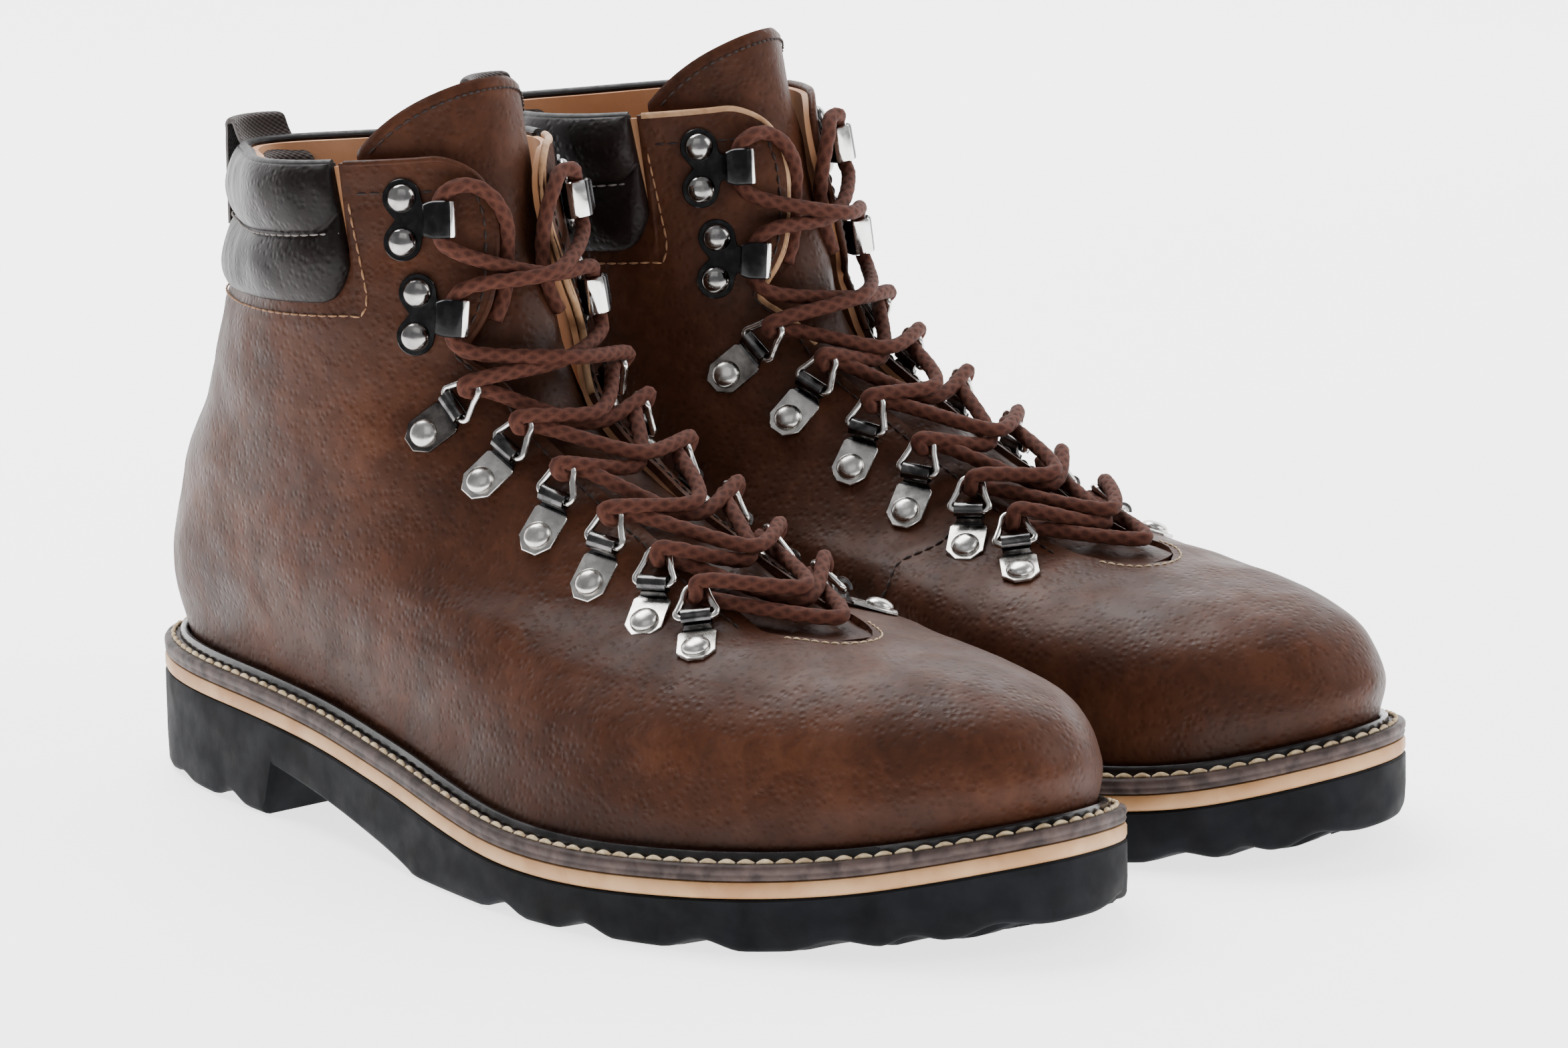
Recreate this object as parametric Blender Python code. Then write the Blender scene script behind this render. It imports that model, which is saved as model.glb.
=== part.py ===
"""A pair of lace-up hiking boots, men's EU 43, as an assembly of separate pieces.

Frame: metres, +Z up, toes towards -Y, right boot at -X and left boot at +X, floor at Z = 0.
Each boot is modelled in its own local frame: u runs to the lateral (outer) side, y to the heel
and z up, in millimetres. MM turns that into metres when a mesh is made.
"""
import math

import bmesh
import bpy
import numpy as np
from mathutils import Matrix, Vector

MM = 0.001
GAP = 0.3                      # clearance between touching pieces

# --- how the pair stands
HALF_SPACING = 54.5            # boot centre line to the middle of the pair
SPLAY_DEG = 6.5                # each boot's toe is turned outward by this
MIDDLE_Y = -.89                # brings the middle of the pair over the origin

# --- sole unit, toe tip to heel tip
TOE_Y, HEEL_Y = -153.0, 156.5
SOLE_S = [0, .06, .13, .21, .29, .38, .48, .58, .68, .78, .88, .95, 1]
SOLE_LATERAL = [43, 46, 50, 55, 57.5, 56.5, 52, 45.5, 40, 37.5, 36.5, 35.5, 34]
SOLE_MEDIAL = [55, 58, 60, 59.5, 55, 47, 39, 36, 37, 38.5, 38.5, 36.5, 34]
TOE_SHIFT = -15.0              # the toe lies this far to the medial side
TOE_SHIFT_FROM = .45           # and the shift begins here along the sole
STRIP_S = [0, .1, .25, .38, .55, .75, 1]
STRIP_Z = [22.4, 15.5, 11.9, 11.7, 18, 23.7, 24.7]    # top of the outsole along its length
MIDSOLE_THICK = 4.0
WELT_THICK = 4.0
WELT_TOP = MIDSOLE_THICK + WELT_THICK + .3            # above the outsole's top
RIM_HIGH = 2.2                 # storm rim standing up around the upper
HEEL_BREAST_Y, HEEL_BREAST_RUN = 82.0, 4.0
ARCH_FRONT_Y = 8.0
ARCH_HIGH = 13.0
TOE_SPRING_Y, TOE_SPRING = -88.0, 7.5
GROOVE_DEEP, GROOVE_WIDE = 2.4, 16.0                  # wide shallow scallops across the tread
GROOVES_Y = [-120, -92, -61, -33, 100]
BOARD_INSET, FOOTBED_INSET = 11.5, 14.5
RIM_INSET, RIM_WIDE = 3.2, 1.6

# --- upper: eleven key rings from the feather line (0) to the top line (10), and the tongue's top
FRONT_Y = [-146, -149, -141.5, -123, -98, -70, -45, -18, 6, 15.5, 25, 30]
FRONT_Z = [31, 42, 54, 61, 64, 67.5, 77.5, 90.5, 105, 130, 166, 188]
BACK_Y = [149.5, 152, 153, 152.5, 151, 148.5, 144, 134.8, 127.1, 124, 124, 124]
BACK_Z = [33, 40, 47, 54, 62, 71, 83, 98, 116, 136, 158, 180]
FRONT_SHIFT = [-15, -15, -14, -12, -10, -8, -6, -4, -3, -2, -2, -2]
FRONT_ROUNDNESS = [4, 4, 4, 3.8, 3.4, 3, 2.8, 2.6, 2.5, 2.4, 2.4, 2.4]
BACK_ROUNDNESS = [4, 4, 4, 3.8, 3.4, 3, 2.8, 2.2, 2.2, 2, 2, 2]
WIDTH_V = [0, 2, 4, 6, 8, 10, 11]
WIDTH_S = [0, .12, .25, .4, .55, .7, .85, 1]
WIDTH_LATERAL = [[38, 46, 50, 49, 42, 33.5, 30, 28],
                 [34, 40, 46, 46.5, 41.5, 35.5, 32, 30],
                 [28, 33, 38.5, 41, 38.5, 35.5, 33, 31],
                 [26, 28.5, 31.5, 34.5, 35.5, 34.5, 33, 31],
                 [27, 29.5, 32, 34, 35, 34.5, 33, 31],
                 [28, 31.5, 34.5, 37, 34.5, 28.5, 22, 20],
                 [28, 32, 35, 38, 35.5, 29, 22.5, 20.5]]
WIDTH_MEDIAL = [[48, 52, 52, 42, 31.5, 31, 31, 28],
                [40, 46, 48, 42, 34, 33.5, 32.5, 30],
                [30, 35, 40, 39, 35, 34.5, 33, 31],
                [26, 28.5, 31.5, 34.5, 34.5, 34, 33, 31],
                [27, 29.5, 32, 34, 35, 34.5, 33, 31],
                [28, 31.5, 34.5, 37, 35, 30, 24, 22],
                [28, 32, 35, 38, 36, 30.5, 24.5, 22.5]]

FEATHER_INSET = 7.2            # the upper meets the welt this far inside the sole's edge
FEATHER_BLEND_V = 3.0          # and takes the sole's outline below this ring
UPPER_THICK = 1.6
LINING_THICK = 1.0
THROAT_V = 4.3                 # the throat opens above this ring
THROAT_GAP_V = [4.3, 4.45, 4.8, 5.6, 8.0, 9.0, 10]
THROAT_GAP = [0, 7, 11, 10.5, 10, 9.5, 8.5]           # half the gap between the facings
COLLAR_S = .28                 # the padded collar starts this far round the top line
COLLAR_V_SIDE, COLLAR_V_BACK = 9.0, 8.55              # its lower edge falls towards the heel
COLLAR_DEEP = 3.2              # how far the pad reaches inward
COLLAR_BULGE = 2.4             # how far each of its two rolls stands proud
TONGUE_THICK = 2.0

# --- lacing hardware, by ring number from the top down
TUBE_V = [8.0, 7.45, 6.75, 6.07, 5.38, 4.65]
TUBE_U = [22, 18.8, 18.5, 18.7, 19, 21.2]             # from the throat's centre line
RIVET_V = [7.66, 6.98, 6.2, 5.48, 4.67, 3.78]
RIVET_U = [27, 25, 24.4, 24.6, 26.2, 29.5]
HOOK_V = [9.58, 8.92]
HOOK_U = [17.8, 18.4]
HOOK_RIVET_U = [25.2, 25.6]
PLATE_WIDE, PLATE_THICK = 9.2, .8
PLATE_LIFT = 1.3               # underside of a plate above the leather
RIVET_RADIUS, RIVET_HIGH = 3.5, 1.7
RIVET_FROM_TUBE = 9.6
TUBE_RADIUS, BORE_RADIUS = 1.9, 1.35
TUBE_LONG = 7.0
RING_WIRE = .85                # wire radius
RING_BASE, RING_REACH = 9.6, 8.6
RING_LIFT_DEG = 24.0
HOOK_WIDE = 8.0
HOOK_GULLET = 4.3
HOOK_REACH = 11.5
LACE_RADIUS = 1.8
TURN_RADIUS = 3.25             # lace centre to the wire it turns round
CROSS_UNDER, CROSS_OVER = 4.1, 8.4                    # lace centre over the leather at crossings
BAR_HIGH = 3.6

# --- heel pull loop
LOOP_WIDE, LOOP_THICK = 15.0, 1.5
LOOP_TOP_Z, LOOP_FOOT_Z, LOOP_INNER_FOOT_Z = 164.5, 138.0, 148.0
LOOP_WRAP_OUT, LOOP_WRAP_IN = 3.1, 6.6                # how far its edges bend forward with the heel


# ------------------------------------------------------------------ curves and surfaces

def slopes(xs, ys):
    return np.gradient(np.asarray(ys, float), np.asarray(xs, float), axis=0)


def smooth(xs, ys, x):
    """Smooth curve through the points (xs, ys), read at x."""
    xs, ys, x = np.asarray(xs, float), np.asarray(ys, float), np.asarray(x, float)
    m = slopes(xs, ys)
    i = np.clip(np.searchsorted(xs, x) - 1, 0, len(xs) - 2)
    h = xs[i + 1] - xs[i]
    t = (x - xs[i]) / h
    rise = ys[i] * (1 + 2 * t) * (1 - t) ** 2 + ys[i + 1] * t * t * (3 - 2 * t)
    return rise + h * (m[i] * t * (1 - t) ** 2 + m[i + 1] * t * t * (t - 1))


def strip_z(y):
    """Height of the outsole's top at y."""
    return smooth(STRIP_S, STRIP_Z, np.clip((y - TOE_Y) / (HEEL_Y - TOE_Y), 0, 1))


def sole_centre(s):
    """Sideways position of the sole's centre line."""
    return TOE_SHIFT * np.clip((TOE_SHIFT_FROM - s) / TOE_SHIFT_FROM, 0, 1) ** 2


def ring_width(v, s, lateral):
    table = np.array(WIDTH_LATERAL if lateral else WIDTH_MEDIAL, float)
    rows = np.stack([smooth(WIDTH_S, row, s) for row in table])
    xs = np.array(WIDTH_V, float)
    m = slopes(xs, rows)
    i = np.clip(np.searchsorted(xs, v) - 1, 0, len(xs) - 2)
    h = xs[i + 1] - xs[i]
    t = (v - xs[i]) / h
    a, b = np.take_along_axis(rows, i[None], 0)[0], np.take_along_axis(rows, i[None] + 1, 0)[0]
    ma, mb = np.take_along_axis(m, i[None], 0)[0], np.take_along_axis(m, i[None] + 1, 0)[0]
    value = a * (1 + 2 * t) * (1 - t) ** 2 + b * t * t * (3 - 2 * t)
    return value + h * (ma * t * (1 - t) ** 2 + mb * t * t * (t - 1))


def ring_point(v, phi):
    """Point on the outside of the upper: ring v, angle phi (0 front, pi back, + lateral)."""
    v, phi = np.broadcast_arrays(np.asarray(v, float), np.asarray(phi, float))
    keys = np.arange(len(FRONT_Y), dtype=float)
    s = (1 - np.cos(phi)) / 2
    front_y, front_z = smooth(keys, FRONT_Y, v), smooth(keys, FRONT_Z, v)
    back_y, back_z = smooth(keys, BACK_Y, v), smooth(keys, BACK_Z, v)
    lateral = np.sin(phi) >= 0
    width = np.where(lateral, ring_width(v, s, True), ring_width(v, s, False))
    power = np.where(s < .5, smooth(keys, FRONT_ROUNDNESS, v), smooth(keys, BACK_ROUNDNESS, v))
    ends = np.sqrt(np.clip(1 - np.abs(2 * s - 1) ** power, 0, 1))
    u = smooth(keys, FRONT_SHIFT, v) * (1 - s) ** 2 + np.sign(np.sin(phi)) * width * ends
    sole_width = np.where(lateral, smooth(SOLE_S, SOLE_LATERAL, s), smooth(SOLE_S, SOLE_MEDIAL, s))
    on_sole = sole_centre(s) + np.sign(np.sin(phi)) * (sole_width - FEATHER_INSET) * ends
    u = u + (on_sole - u) * np.clip(1 - v / FEATHER_BLEND_V, 0, 1) ** 1.2
    y = front_y + (back_y - front_y) * s
    z = front_z + (back_z - front_z) * s
    flat = strip_z(y) + WELT_TOP + .2 - (FRONT_Z[0] + (BACK_Z[0] - FRONT_Z[0]) * s)
    z = z + flat * np.clip(1 - v / 6, 0, 1) ** 1.6
    return np.stack([u, y, z], -1)


def shell(v, phi, depth=0.0):
    """Point `depth` under the upper's outer surface (negative stands proud)."""
    dv, dp = .04, .02
    point = ring_point(v, phi)
    across = ring_point(v, np.asarray(phi) + dp) - ring_point(v, np.asarray(phi) - dp)
    up = ring_point(np.asarray(v) + dv, phi) - ring_point(np.asarray(v) - dv, phi)
    normal = np.cross(across, up)
    normal /= np.maximum(np.linalg.norm(normal, axis=-1, keepdims=True), 1e-9)
    return point - normal * np.asarray(depth, float)[..., None]


def angle_at(v, half_width):
    """Angle phi at which ring v is half_width away from its own centre line."""
    phi = np.linspace(0, 1.7, 120)
    p = ring_point(np.full_like(phi, v), phi)
    s = (1 - np.cos(phi)) / 2
    centre = smooth(np.arange(len(FRONT_SHIFT)), FRONT_SHIFT, v) * (1 - s) ** 2
    return float(np.interp(half_width, np.maximum.accumulate(p[:, 0] - centre), phi))


def throat_angle(v):
    return angle_at(v, float(np.interp(v, THROAT_GAP_V, THROAT_GAP))) if v > THROAT_V else 0.0


# ------------------------------------------------------------------ meshes

def new_object(name, mesh, boot, material, matrix=None):
    obj = bpy.data.objects.new(boot["side"] + "_" + name, mesh)
    boots.objects.link(obj)
    obj.parent = boot["frame"]
    if matrix is not None:
        obj.matrix_local = matrix
    obj.data.materials.append(material)
    return obj


def finish(bm, name, smooth_angle=40.0):
    bmesh.ops.remove_doubles(bm, verts=bm.verts, dist=1e-6)
    bmesh.ops.recalc_face_normals(bm, faces=bm.faces)
    mesh = bpy.data.meshes.new(name)
    bm.to_mesh(mesh)
    bm.free()
    mesh.shade_smooth()
    mesh.set_sharp_from_angle(angle=math.radians(smooth_angle))
    return mesh


def to_metres(points, boot):
    """Boot-local (u, y, z) in millimetres to the boot frame's metres."""
    return np.asarray(points, float) * MM * np.array([boot["mirror"], 1, 1])


def grid_faces(bm, rows):
    for a, b in zip(rows[:-1], rows[1:]):
        for k in range(len(a) - 1):
            corners = list(dict.fromkeys([a[k], a[k + 1], b[k + 1], b[k]]))
            if len(corners) > 2:
                bm.faces.new(corners)


def thick_patch(name, outer, inner, boot, closed_rows=0):
    """Solid between two grids of points. The first closed_rows rows close on themselves."""
    bm = bmesh.new()
    layers = []
    for grid in (outer, inner):
        rows = []
        for j, row in enumerate(to_metres(grid, boot)):
            verts = [bm.verts.new(p) for p in row[:-1]]
            verts.append(verts[0] if j < closed_rows else bm.verts.new(row[-1]))
            rows.append(verts)
        grid_faces(bm, rows)
        layers.append(rows)
    out, inn = layers
    grid_faces(bm, [out[0], inn[0]])
    grid_faces(bm, [out[-1], inn[-1]])
    first_open = max(closed_rows - 1, 0)
    for k in (0, -1):
        grid_faces(bm, [[r[k] for r in out[first_open:]], [r[k] for r in inn[first_open:]]])
    return finish(bm, name)


def sole_loop(stations, inset):
    """Closed outline of the sole, moved inward by inset: first the lateral side, toe to heel."""
    s = np.asarray(stations, float)
    centre = sole_centre(s)
    ends = np.sqrt(np.clip(1 - np.abs(2 * s - 1) ** 4, 0, 1))
    y = TOE_Y + s * (HEEL_Y - TOE_Y)
    lateral = np.stack([centre + smooth(SOLE_S, SOLE_LATERAL, s) * ends, y], -1)
    medial = np.stack([centre - smooth(SOLE_S, SOLE_MEDIAL, s) * ends, y], -1)
    loop = np.vstack([lateral, medial[-2:0:-1]])
    along = np.roll(loop, -1, 0) - np.roll(loop, 1, 0)
    along /= np.linalg.norm(along, axis=1, keepdims=True)
    return loop + inset * np.stack([-along[:, 1], along[:, 0]], -1)


def even_stations(count):
    return (1 - np.cos(np.linspace(0, math.pi, count))) / 2


def ladder(bm, verts):
    """Cap of a sole outline: rungs from the lateral to the medial side."""
    n, half = len(verts), len(verts) // 2
    for k in range(half):
        ring = [verts[k], verts[k + 1], verts[(n - k - 1) % n], verts[(n - k) % n]]
        bm.faces.new(list(dict.fromkeys(ring)))


def slab(name, levels, stations, boot, hole=False):
    """Stacked sole outlines, each (inset, height function), as one solid; a hole joins the ends."""
    bm = bmesh.new()
    rings = []
    for inset, height in levels:
        loop = sole_loop(stations, inset)
        points = np.column_stack([loop, height(loop[:, 1])])
        rings.append([bm.verts.new(p) for p in to_metres(points, boot)])
    pairs = list(zip(rings[:-1], rings[1:])) + ([(rings[-1], rings[0])] if hole else [])
    for a, b in pairs:
        grid_faces(bm, [a + a[:1], b + b[:1]])
    if not hole:
        ladder(bm, rings[0])
        ladder(bm, rings[-1])
    return finish(bm, name)


def boolean(obj, cutter, operation, use_self=False):
    mod = obj.modifiers.new(operation.lower(), "BOOLEAN")
    mod.operation, mod.solver, mod.object, mod.use_self = operation, "EXACT", cutter, use_self


def cutter_object(name, mesh, boot):
    obj = bpy.data.objects.new(boot["side"] + "_" + name, mesh)
    cutters.objects.link(obj)
    obj.parent = boot["frame"]
    obj.hide_render = True
    obj.display_type = "WIRE"
    return obj


def curve_mesh(points, radius, sides_step, cyclic=False):
    """Closed tube mesh along points (metres)."""
    curve = bpy.data.curves.new("route", "CURVE")
    curve.dimensions = "3D"
    curve.bevel_depth = radius * MM
    curve.bevel_resolution = sides_step
    curve.use_fill_caps = not cyclic
    spline = curve.splines.new("POLY")
    spline.points.add(len(points) - 1)
    for target, p in zip(spline.points, points):
        target.co = (*p, 1)
    spline.use_cyclic_u = cyclic
    obj = bpy.data.objects.new("route", curve)
    bpy.context.scene.collection.objects.link(obj)
    bpy.context.view_layer.update()
    graph = bpy.context.evaluated_depsgraph_get()
    mesh = bpy.data.meshes.new_from_object(obj.evaluated_get(graph))
    bpy.data.objects.remove(obj)
    bm = bmesh.new()
    bm.from_mesh(mesh)
    return finish(bm, "tube", 60)


# ------------------------------------------------------------------ hardware frames

def surface_frame(v_in, u_in, v_out, u_out, lateral):
    """Axes at a fitting on the facing: along (up the facing), out (away from the throat), normal."""
    sign = 1 if lateral else -1
    tip = ring_point(v_in, sign * angle_at(v_in, u_in))
    foot = ring_point(v_out, sign * angle_at(v_out, u_out))
    v_mid, phi_mid = (v_in + v_out) / 2, sign * (angle_at(v_in, u_in) + angle_at(v_out, u_out)) / 2
    normal = shell(v_mid, phi_mid, -1.0) - shell(v_mid, phi_mid, 0.0)
    out = foot - tip
    out -= normal * out.dot(normal)
    out /= np.linalg.norm(out)
    along = np.cross(normal, out)
    along *= np.sign(along[2])
    return {"origin": tip, "along": along, "out": out, "normal": normal}


def fitting_point(frame, along=0.0, out=0.0, high=0.0):
    return frame["origin"] + frame["along"] * along + frame["out"] * out + frame["normal"] * high


def fitting_matrix(frame, boot, along=0.0, out=0.0, high=0.0):
    """Matrix in the boot's frame: X along the facing, Y out, Z off the leather."""
    flip = np.array([boot["mirror"], 1, 1])
    x_axis, z_axis = Vector(frame["along"] * flip), Vector(frame["normal"] * flip)
    y_axis = z_axis.cross(x_axis)
    matrix = Matrix((x_axis, y_axis, z_axis)).transposed().to_4x4()
    matrix.translation = Vector(to_metres(fitting_point(frame, along, out, high), boot))
    return matrix


def out_sign(frame, boot):
    """+1 where the local Y of fitting_matrix points out, -1 where it points to the throat."""
    flip = np.array([boot["mirror"], 1, 1])
    y_axis = Vector(frame["normal"] * flip).cross(Vector(frame["along"] * flip))
    return 1 if y_axis.dot(Vector(frame["out"] * flip)) > 0 else -1


def ring_frame(i, lateral):
    return surface_frame(TUBE_V[i], TUBE_U[i], RIVET_V[i], RIVET_U[i], lateral)


def hook_frame(i, lateral):
    return surface_frame(HOOK_V[i], HOOK_U[i], HOOK_V[i], HOOK_RIVET_U[i], lateral)


TUBE_HIGH = PLATE_LIFT + TUBE_RADIUS


def prism(bm, outline, low, high, matrix):
    """Flat outline (local X, Y in mm) between two heights."""
    rings = [[bm.verts.new(matrix @ Vector((x * MM, y * MM, z * MM))) for x, y in outline]
             for z in (low, high)]
    bm.faces.new(rings[0])
    bm.faces.new(rings[1])
    grid_faces(bm, [rings[0] + rings[0][:1], rings[1] + rings[1][:1]])


def dome(bm, matrix, radius, high, sides=8):
    """Low rivet head standing on local Z = 0, its foot sunk into the plate."""
    levels = [(radius, -.5), (radius, .3 * high), (.6 * radius, high)]
    rings = []
    for r, z in levels:
        turn = [2 * math.pi * (k + .5) / sides for k in range(sides)]
        rings.append([bm.verts.new(matrix @ Vector((r * math.cos(a) * MM, r * math.sin(a) * MM,
                                                    z * MM))) for a in turn])
    for a, b in zip(rings[:-1], rings[1:]):
        grid_faces(bm, [a + a[:1], b + b[:1]])
    bm.faces.new(rings[0])
    bm.faces.new(rings[-1])


def rod(bm, matrix, radius, half_length, sides=8):
    """Round rod along local X through the origin."""
    turn = Matrix.Rotation(math.pi / 2, 4, "Y")
    bmesh.ops.create_cone(bm, cap_ends=True, segments=sides, radius1=radius * MM,
                          radius2=radius * MM, depth=2 * half_length * MM, matrix=matrix @ turn)


# ------------------------------------------------------------------ the pieces

def outsole_bottom(y):
    """Tread height: flat heel block, raised arch, flat forefoot, toe spring and scallops."""
    z = np.zeros_like(y)
    breast = np.clip((HEEL_BREAST_Y - y) / HEEL_BREAST_RUN, 0, 1)
    fall = np.clip((y - ARCH_FRONT_Y) / (HEEL_BREAST_Y - HEEL_BREAST_RUN - ARCH_FRONT_Y), 0, 1)
    z = np.where((y < HEEL_BREAST_Y) & (y > ARCH_FRONT_Y), ARCH_HIGH * breast * fall ** .8, z)
    rise = np.clip((TOE_SPRING_Y - y) / (TOE_SPRING_Y - TOE_Y), 0, 1)
    z = z + TOE_SPRING * rise ** 1.7
    for groove in GROOVES_Y:
        z = z + GROOVE_DEEP * np.clip(1 - np.abs(y - groove) / (GROOVE_WIDE / 2), 0, 1)
    return z


def outsole_stations():
    """Even stations, plus those where the tread changes."""
    marks = [HEEL_BREAST_Y, HEEL_BREAST_Y - HEEL_BREAST_RUN, ARCH_FRONT_Y]
    for groove in GROOVES_Y:
        marks += [groove - GROOVE_WIDE / 2, groove, groove + GROOVE_WIDE / 2]
    marks = (np.array(marks) - TOE_Y) / (HEEL_Y - TOE_Y)
    base = [s for s in even_stations(19) if np.min(np.abs(marks - s)) > .012]
    return np.sort(np.concatenate([base, marks]))


def make_sole(boot):
    """Outsole, midsole, welt, shank, insole board and footbed, from the ground up."""
    even = even_stations(21)
    mesh = slab("outsole", [(1.5, outsole_bottom), (0, lambda y: outsole_bottom(y) + 2.5),
                            (0, strip_z)], outsole_stations(), boot)
    new_object("outsole", mesh, boot, RUBBER)
    mesh = slab("midsole", [(.4, lambda y: strip_z(y) + GAP),
                            (.4, lambda y: strip_z(y) + MIDSOLE_THICK)], even, boot)
    new_object("midsole", mesh, boot, TAN_RUBBER)
    low, high = MIDSOLE_THICK + GAP, WELT_TOP - .3
    levels = [(.2, lambda y: strip_z(y) + low), (.2, lambda y: strip_z(y) + high),
              (RIM_INSET, lambda y: strip_z(y) + high),
              (RIM_INSET + .2, lambda y: strip_z(y) + high + RIM_HIGH),
              (RIM_INSET + RIM_WIDE, lambda y: strip_z(y) + high + RIM_HIGH),
              (RIM_INSET + RIM_WIDE, lambda y: strip_z(y) + high),
              (14, lambda y: strip_z(y) + high), (14, lambda y: strip_z(y) + low)]
    new_object("welt", slab("welt", levels, even, boot, hole=True), boot, WELT)
    levels = [(BOARD_INSET, lambda y: strip_z(y) + WELT_TOP + GAP),
              (BOARD_INSET, lambda y: strip_z(y) + WELT_TOP + 2)]
    new_object("insole_board", slab("board", levels, even_stations(17), boot), boot, BOARD)
    levels = [(FOOTBED_INSET, lambda y: strip_z(y) + WELT_TOP + 2.3),
              (FOOTBED_INSET, lambda y: strip_z(y) + WELT_TOP + 6)]
    new_object("footbed", slab("footbed", levels, even_stations(17), boot), boot, TAN_LINING)
    make_shank(boot)


def make_shank(boot):
    """Spring-steel strip in the waist, between the midsole and the insole board."""
    half_wide, thick, ys = 7.0, 1.2, np.linspace(-20, 90, 8)
    low = strip_z(ys) + MIDSOLE_THICK + .4
    outer = [[(u, y, z + thick) for y, z in zip(ys, low)] for u in (-half_wide, half_wide)]
    inner = [[(u, y, z) for y, z in zip(ys, low)] for u in (-half_wide, half_wide)]
    new_object("shank", thick_patch("shank", outer, inner, boot), boot, STEEL)


SHELL_ROWS = [0, .6, 1.3, 2.2, 3.2, THROAT_V, 5.0, 6.0, 7.0, 8.0]
HALF_COLUMNS = 10


def shell_angles(v, extra=0.0):
    """Angles round ring v from the lateral facing, over the heel, to the medial facing."""
    start = throat_angle(v)
    if v > THROAT_V:
        start += extra
    collar = math.acos(1 - 2 * COLLAR_S)
    front = np.linspace(start, collar - .04, 5)
    back = np.linspace(collar + .04, math.pi, HALF_COLUMNS - 4)
    half = np.concatenate([front, back])
    return np.concatenate([half, 2 * math.pi - half[-2::-1]])


def wrap(phi):
    return (phi + math.pi) % (2 * math.pi) - math.pi


def in_collar(phi):
    return (1 - np.cos(phi)) / 2 > COLLAR_S


def collar_low(phi):
    """Ring on which the collar's lower edge lies."""
    back = np.clip(((1 - np.cos(phi)) / 2 - COLLAR_S) / (1 - COLLAR_S), 0, 1)
    return COLLAR_V_SIDE + (COLLAR_V_BACK - COLLAR_V_SIDE) * back


def make_upper(boot):
    """Leather vamp and quarters: one lasted shell, open at the throat and cut down for the collar."""
    outer, inner = [], []
    for v in SHELL_ROWS + [8.5, 9.2, 10]:
        phi = shell_angles(v)
        under_pad = SHELL_ROWS[-1] + (collar_low(phi) - .08 - SHELL_ROWS[-1]) * (v - 8) / 2
        level = np.where(in_collar(phi) & (v > SHELL_ROWS[-1]), under_pad, v)
        outer.append(shell(level, wrap(phi)))
        inner.append(shell(level, wrap(phi), np.full(len(phi), UPPER_THICK)))
    closed = SHELL_ROWS.index(THROAT_V) + 1
    new_object("upper", thick_patch("upper", outer, inner, boot, closed), boot, LEATHER)


def lining_depth(v, phi):
    """The lining lies on the leather, and steps in behind the collar pad."""
    step = np.clip((v - 7.9) / .4, 0, 1)
    s = (1 - np.cos(phi)) / 2
    side = np.clip((s - COLLAR_S + .08) / .05, 0, 1)
    return UPPER_THICK + .5 + (COLLAR_DEEP + .6 - UPPER_THICK) * step * side


def make_lining(boot):
    outer, inner = [], []
    for v in [.4] + SHELL_ROWS[1:] + [8.4, 9.1, 9.85]:
        phi = shell_angles(v, extra=.02)
        depth = lining_depth(v, phi)
        outer.append(shell(np.full(len(phi), v), wrap(phi), depth))
        inner.append(shell(np.full(len(phi), v), wrap(phi), depth + LINING_THICK))
    closed = SHELL_ROWS.index(THROAT_V) + 1
    new_object("lining", thick_patch("lining", outer, inner, boot, closed), boot, TAN_LINING)


def make_collar(boot):
    """Padded collar in two rolls, from one side of the throat round the heel to the other."""
    start = math.acos(1 - 2 * COLLAR_S) + .035
    phi = np.linspace(start, 2 * math.pi - start, 15)
    low = collar_low(phi)
    roll = [(0, 0), (.08, .75), (.28, 1), (.47, .6), (.53, .2), (.6, .7), (.8, 1), (.95, .7), (1, 0)]
    outer, inner = [], []
    for part, bulge in roll:
        v = low + (10 - low) * part
        outer.append(shell(v, wrap(phi), np.full(len(phi), -COLLAR_BULGE * bulge)))
        inner.append(shell(v, wrap(phi), np.full(len(phi), COLLAR_DEEP)))
    new_object("collar", thick_patch("collar", outer, inner, boot), boot, COLLAR)


def tongue_depth(v):
    """The tongue lies under the lining, deeper behind the top flaps where the lace ends go."""
    return 4.4 + 4.8 * float(np.clip((v - 6.6) / 1.2, 0, 1))


def make_tongue(boot):
    rows = [4.4, 5.2, 6.4, 7.2, 8.0, 8.6, 9.3, 10.0, 10.35, 10.65, 10.9]
    reach = [.03, .1, .15, .17, .19, .21, .23, .25, .21, .14, .05]
    outer, inner = [], []
    for v, s in zip(rows, reach):
        edge = math.acos(1 - 2 * s)
        phi = np.linspace(edge, -edge, 9)
        depth = np.full(len(phi), tongue_depth(v))
        outer.append(shell(np.full(len(phi), v), phi, depth))
        inner.append(shell(np.full(len(phi), v), phi, depth + TONGUE_THICK))
    new_object("tongue", thick_patch("tongue", outer, inner, boot), boot, LEATHER)


def strap(route):
    """Rows across the strap along a (y, z) route, its edges bending forward with the heel."""
    across = np.linspace(LOOP_WIDE / 2, -LOOP_WIDE / 2, 5)
    out_y, in_y = route[0][0], route[-1][0]
    rows = []
    for y, z in route:
        wrap_here = LOOP_WRAP_OUT + (LOOP_WRAP_IN - LOOP_WRAP_OUT) * (out_y - y) / (out_y - in_y)
        rows.append([(u, y - wrap_here * (2 * u / LOOP_WIDE) ** 2, z) for u in across])
    return rows


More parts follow.
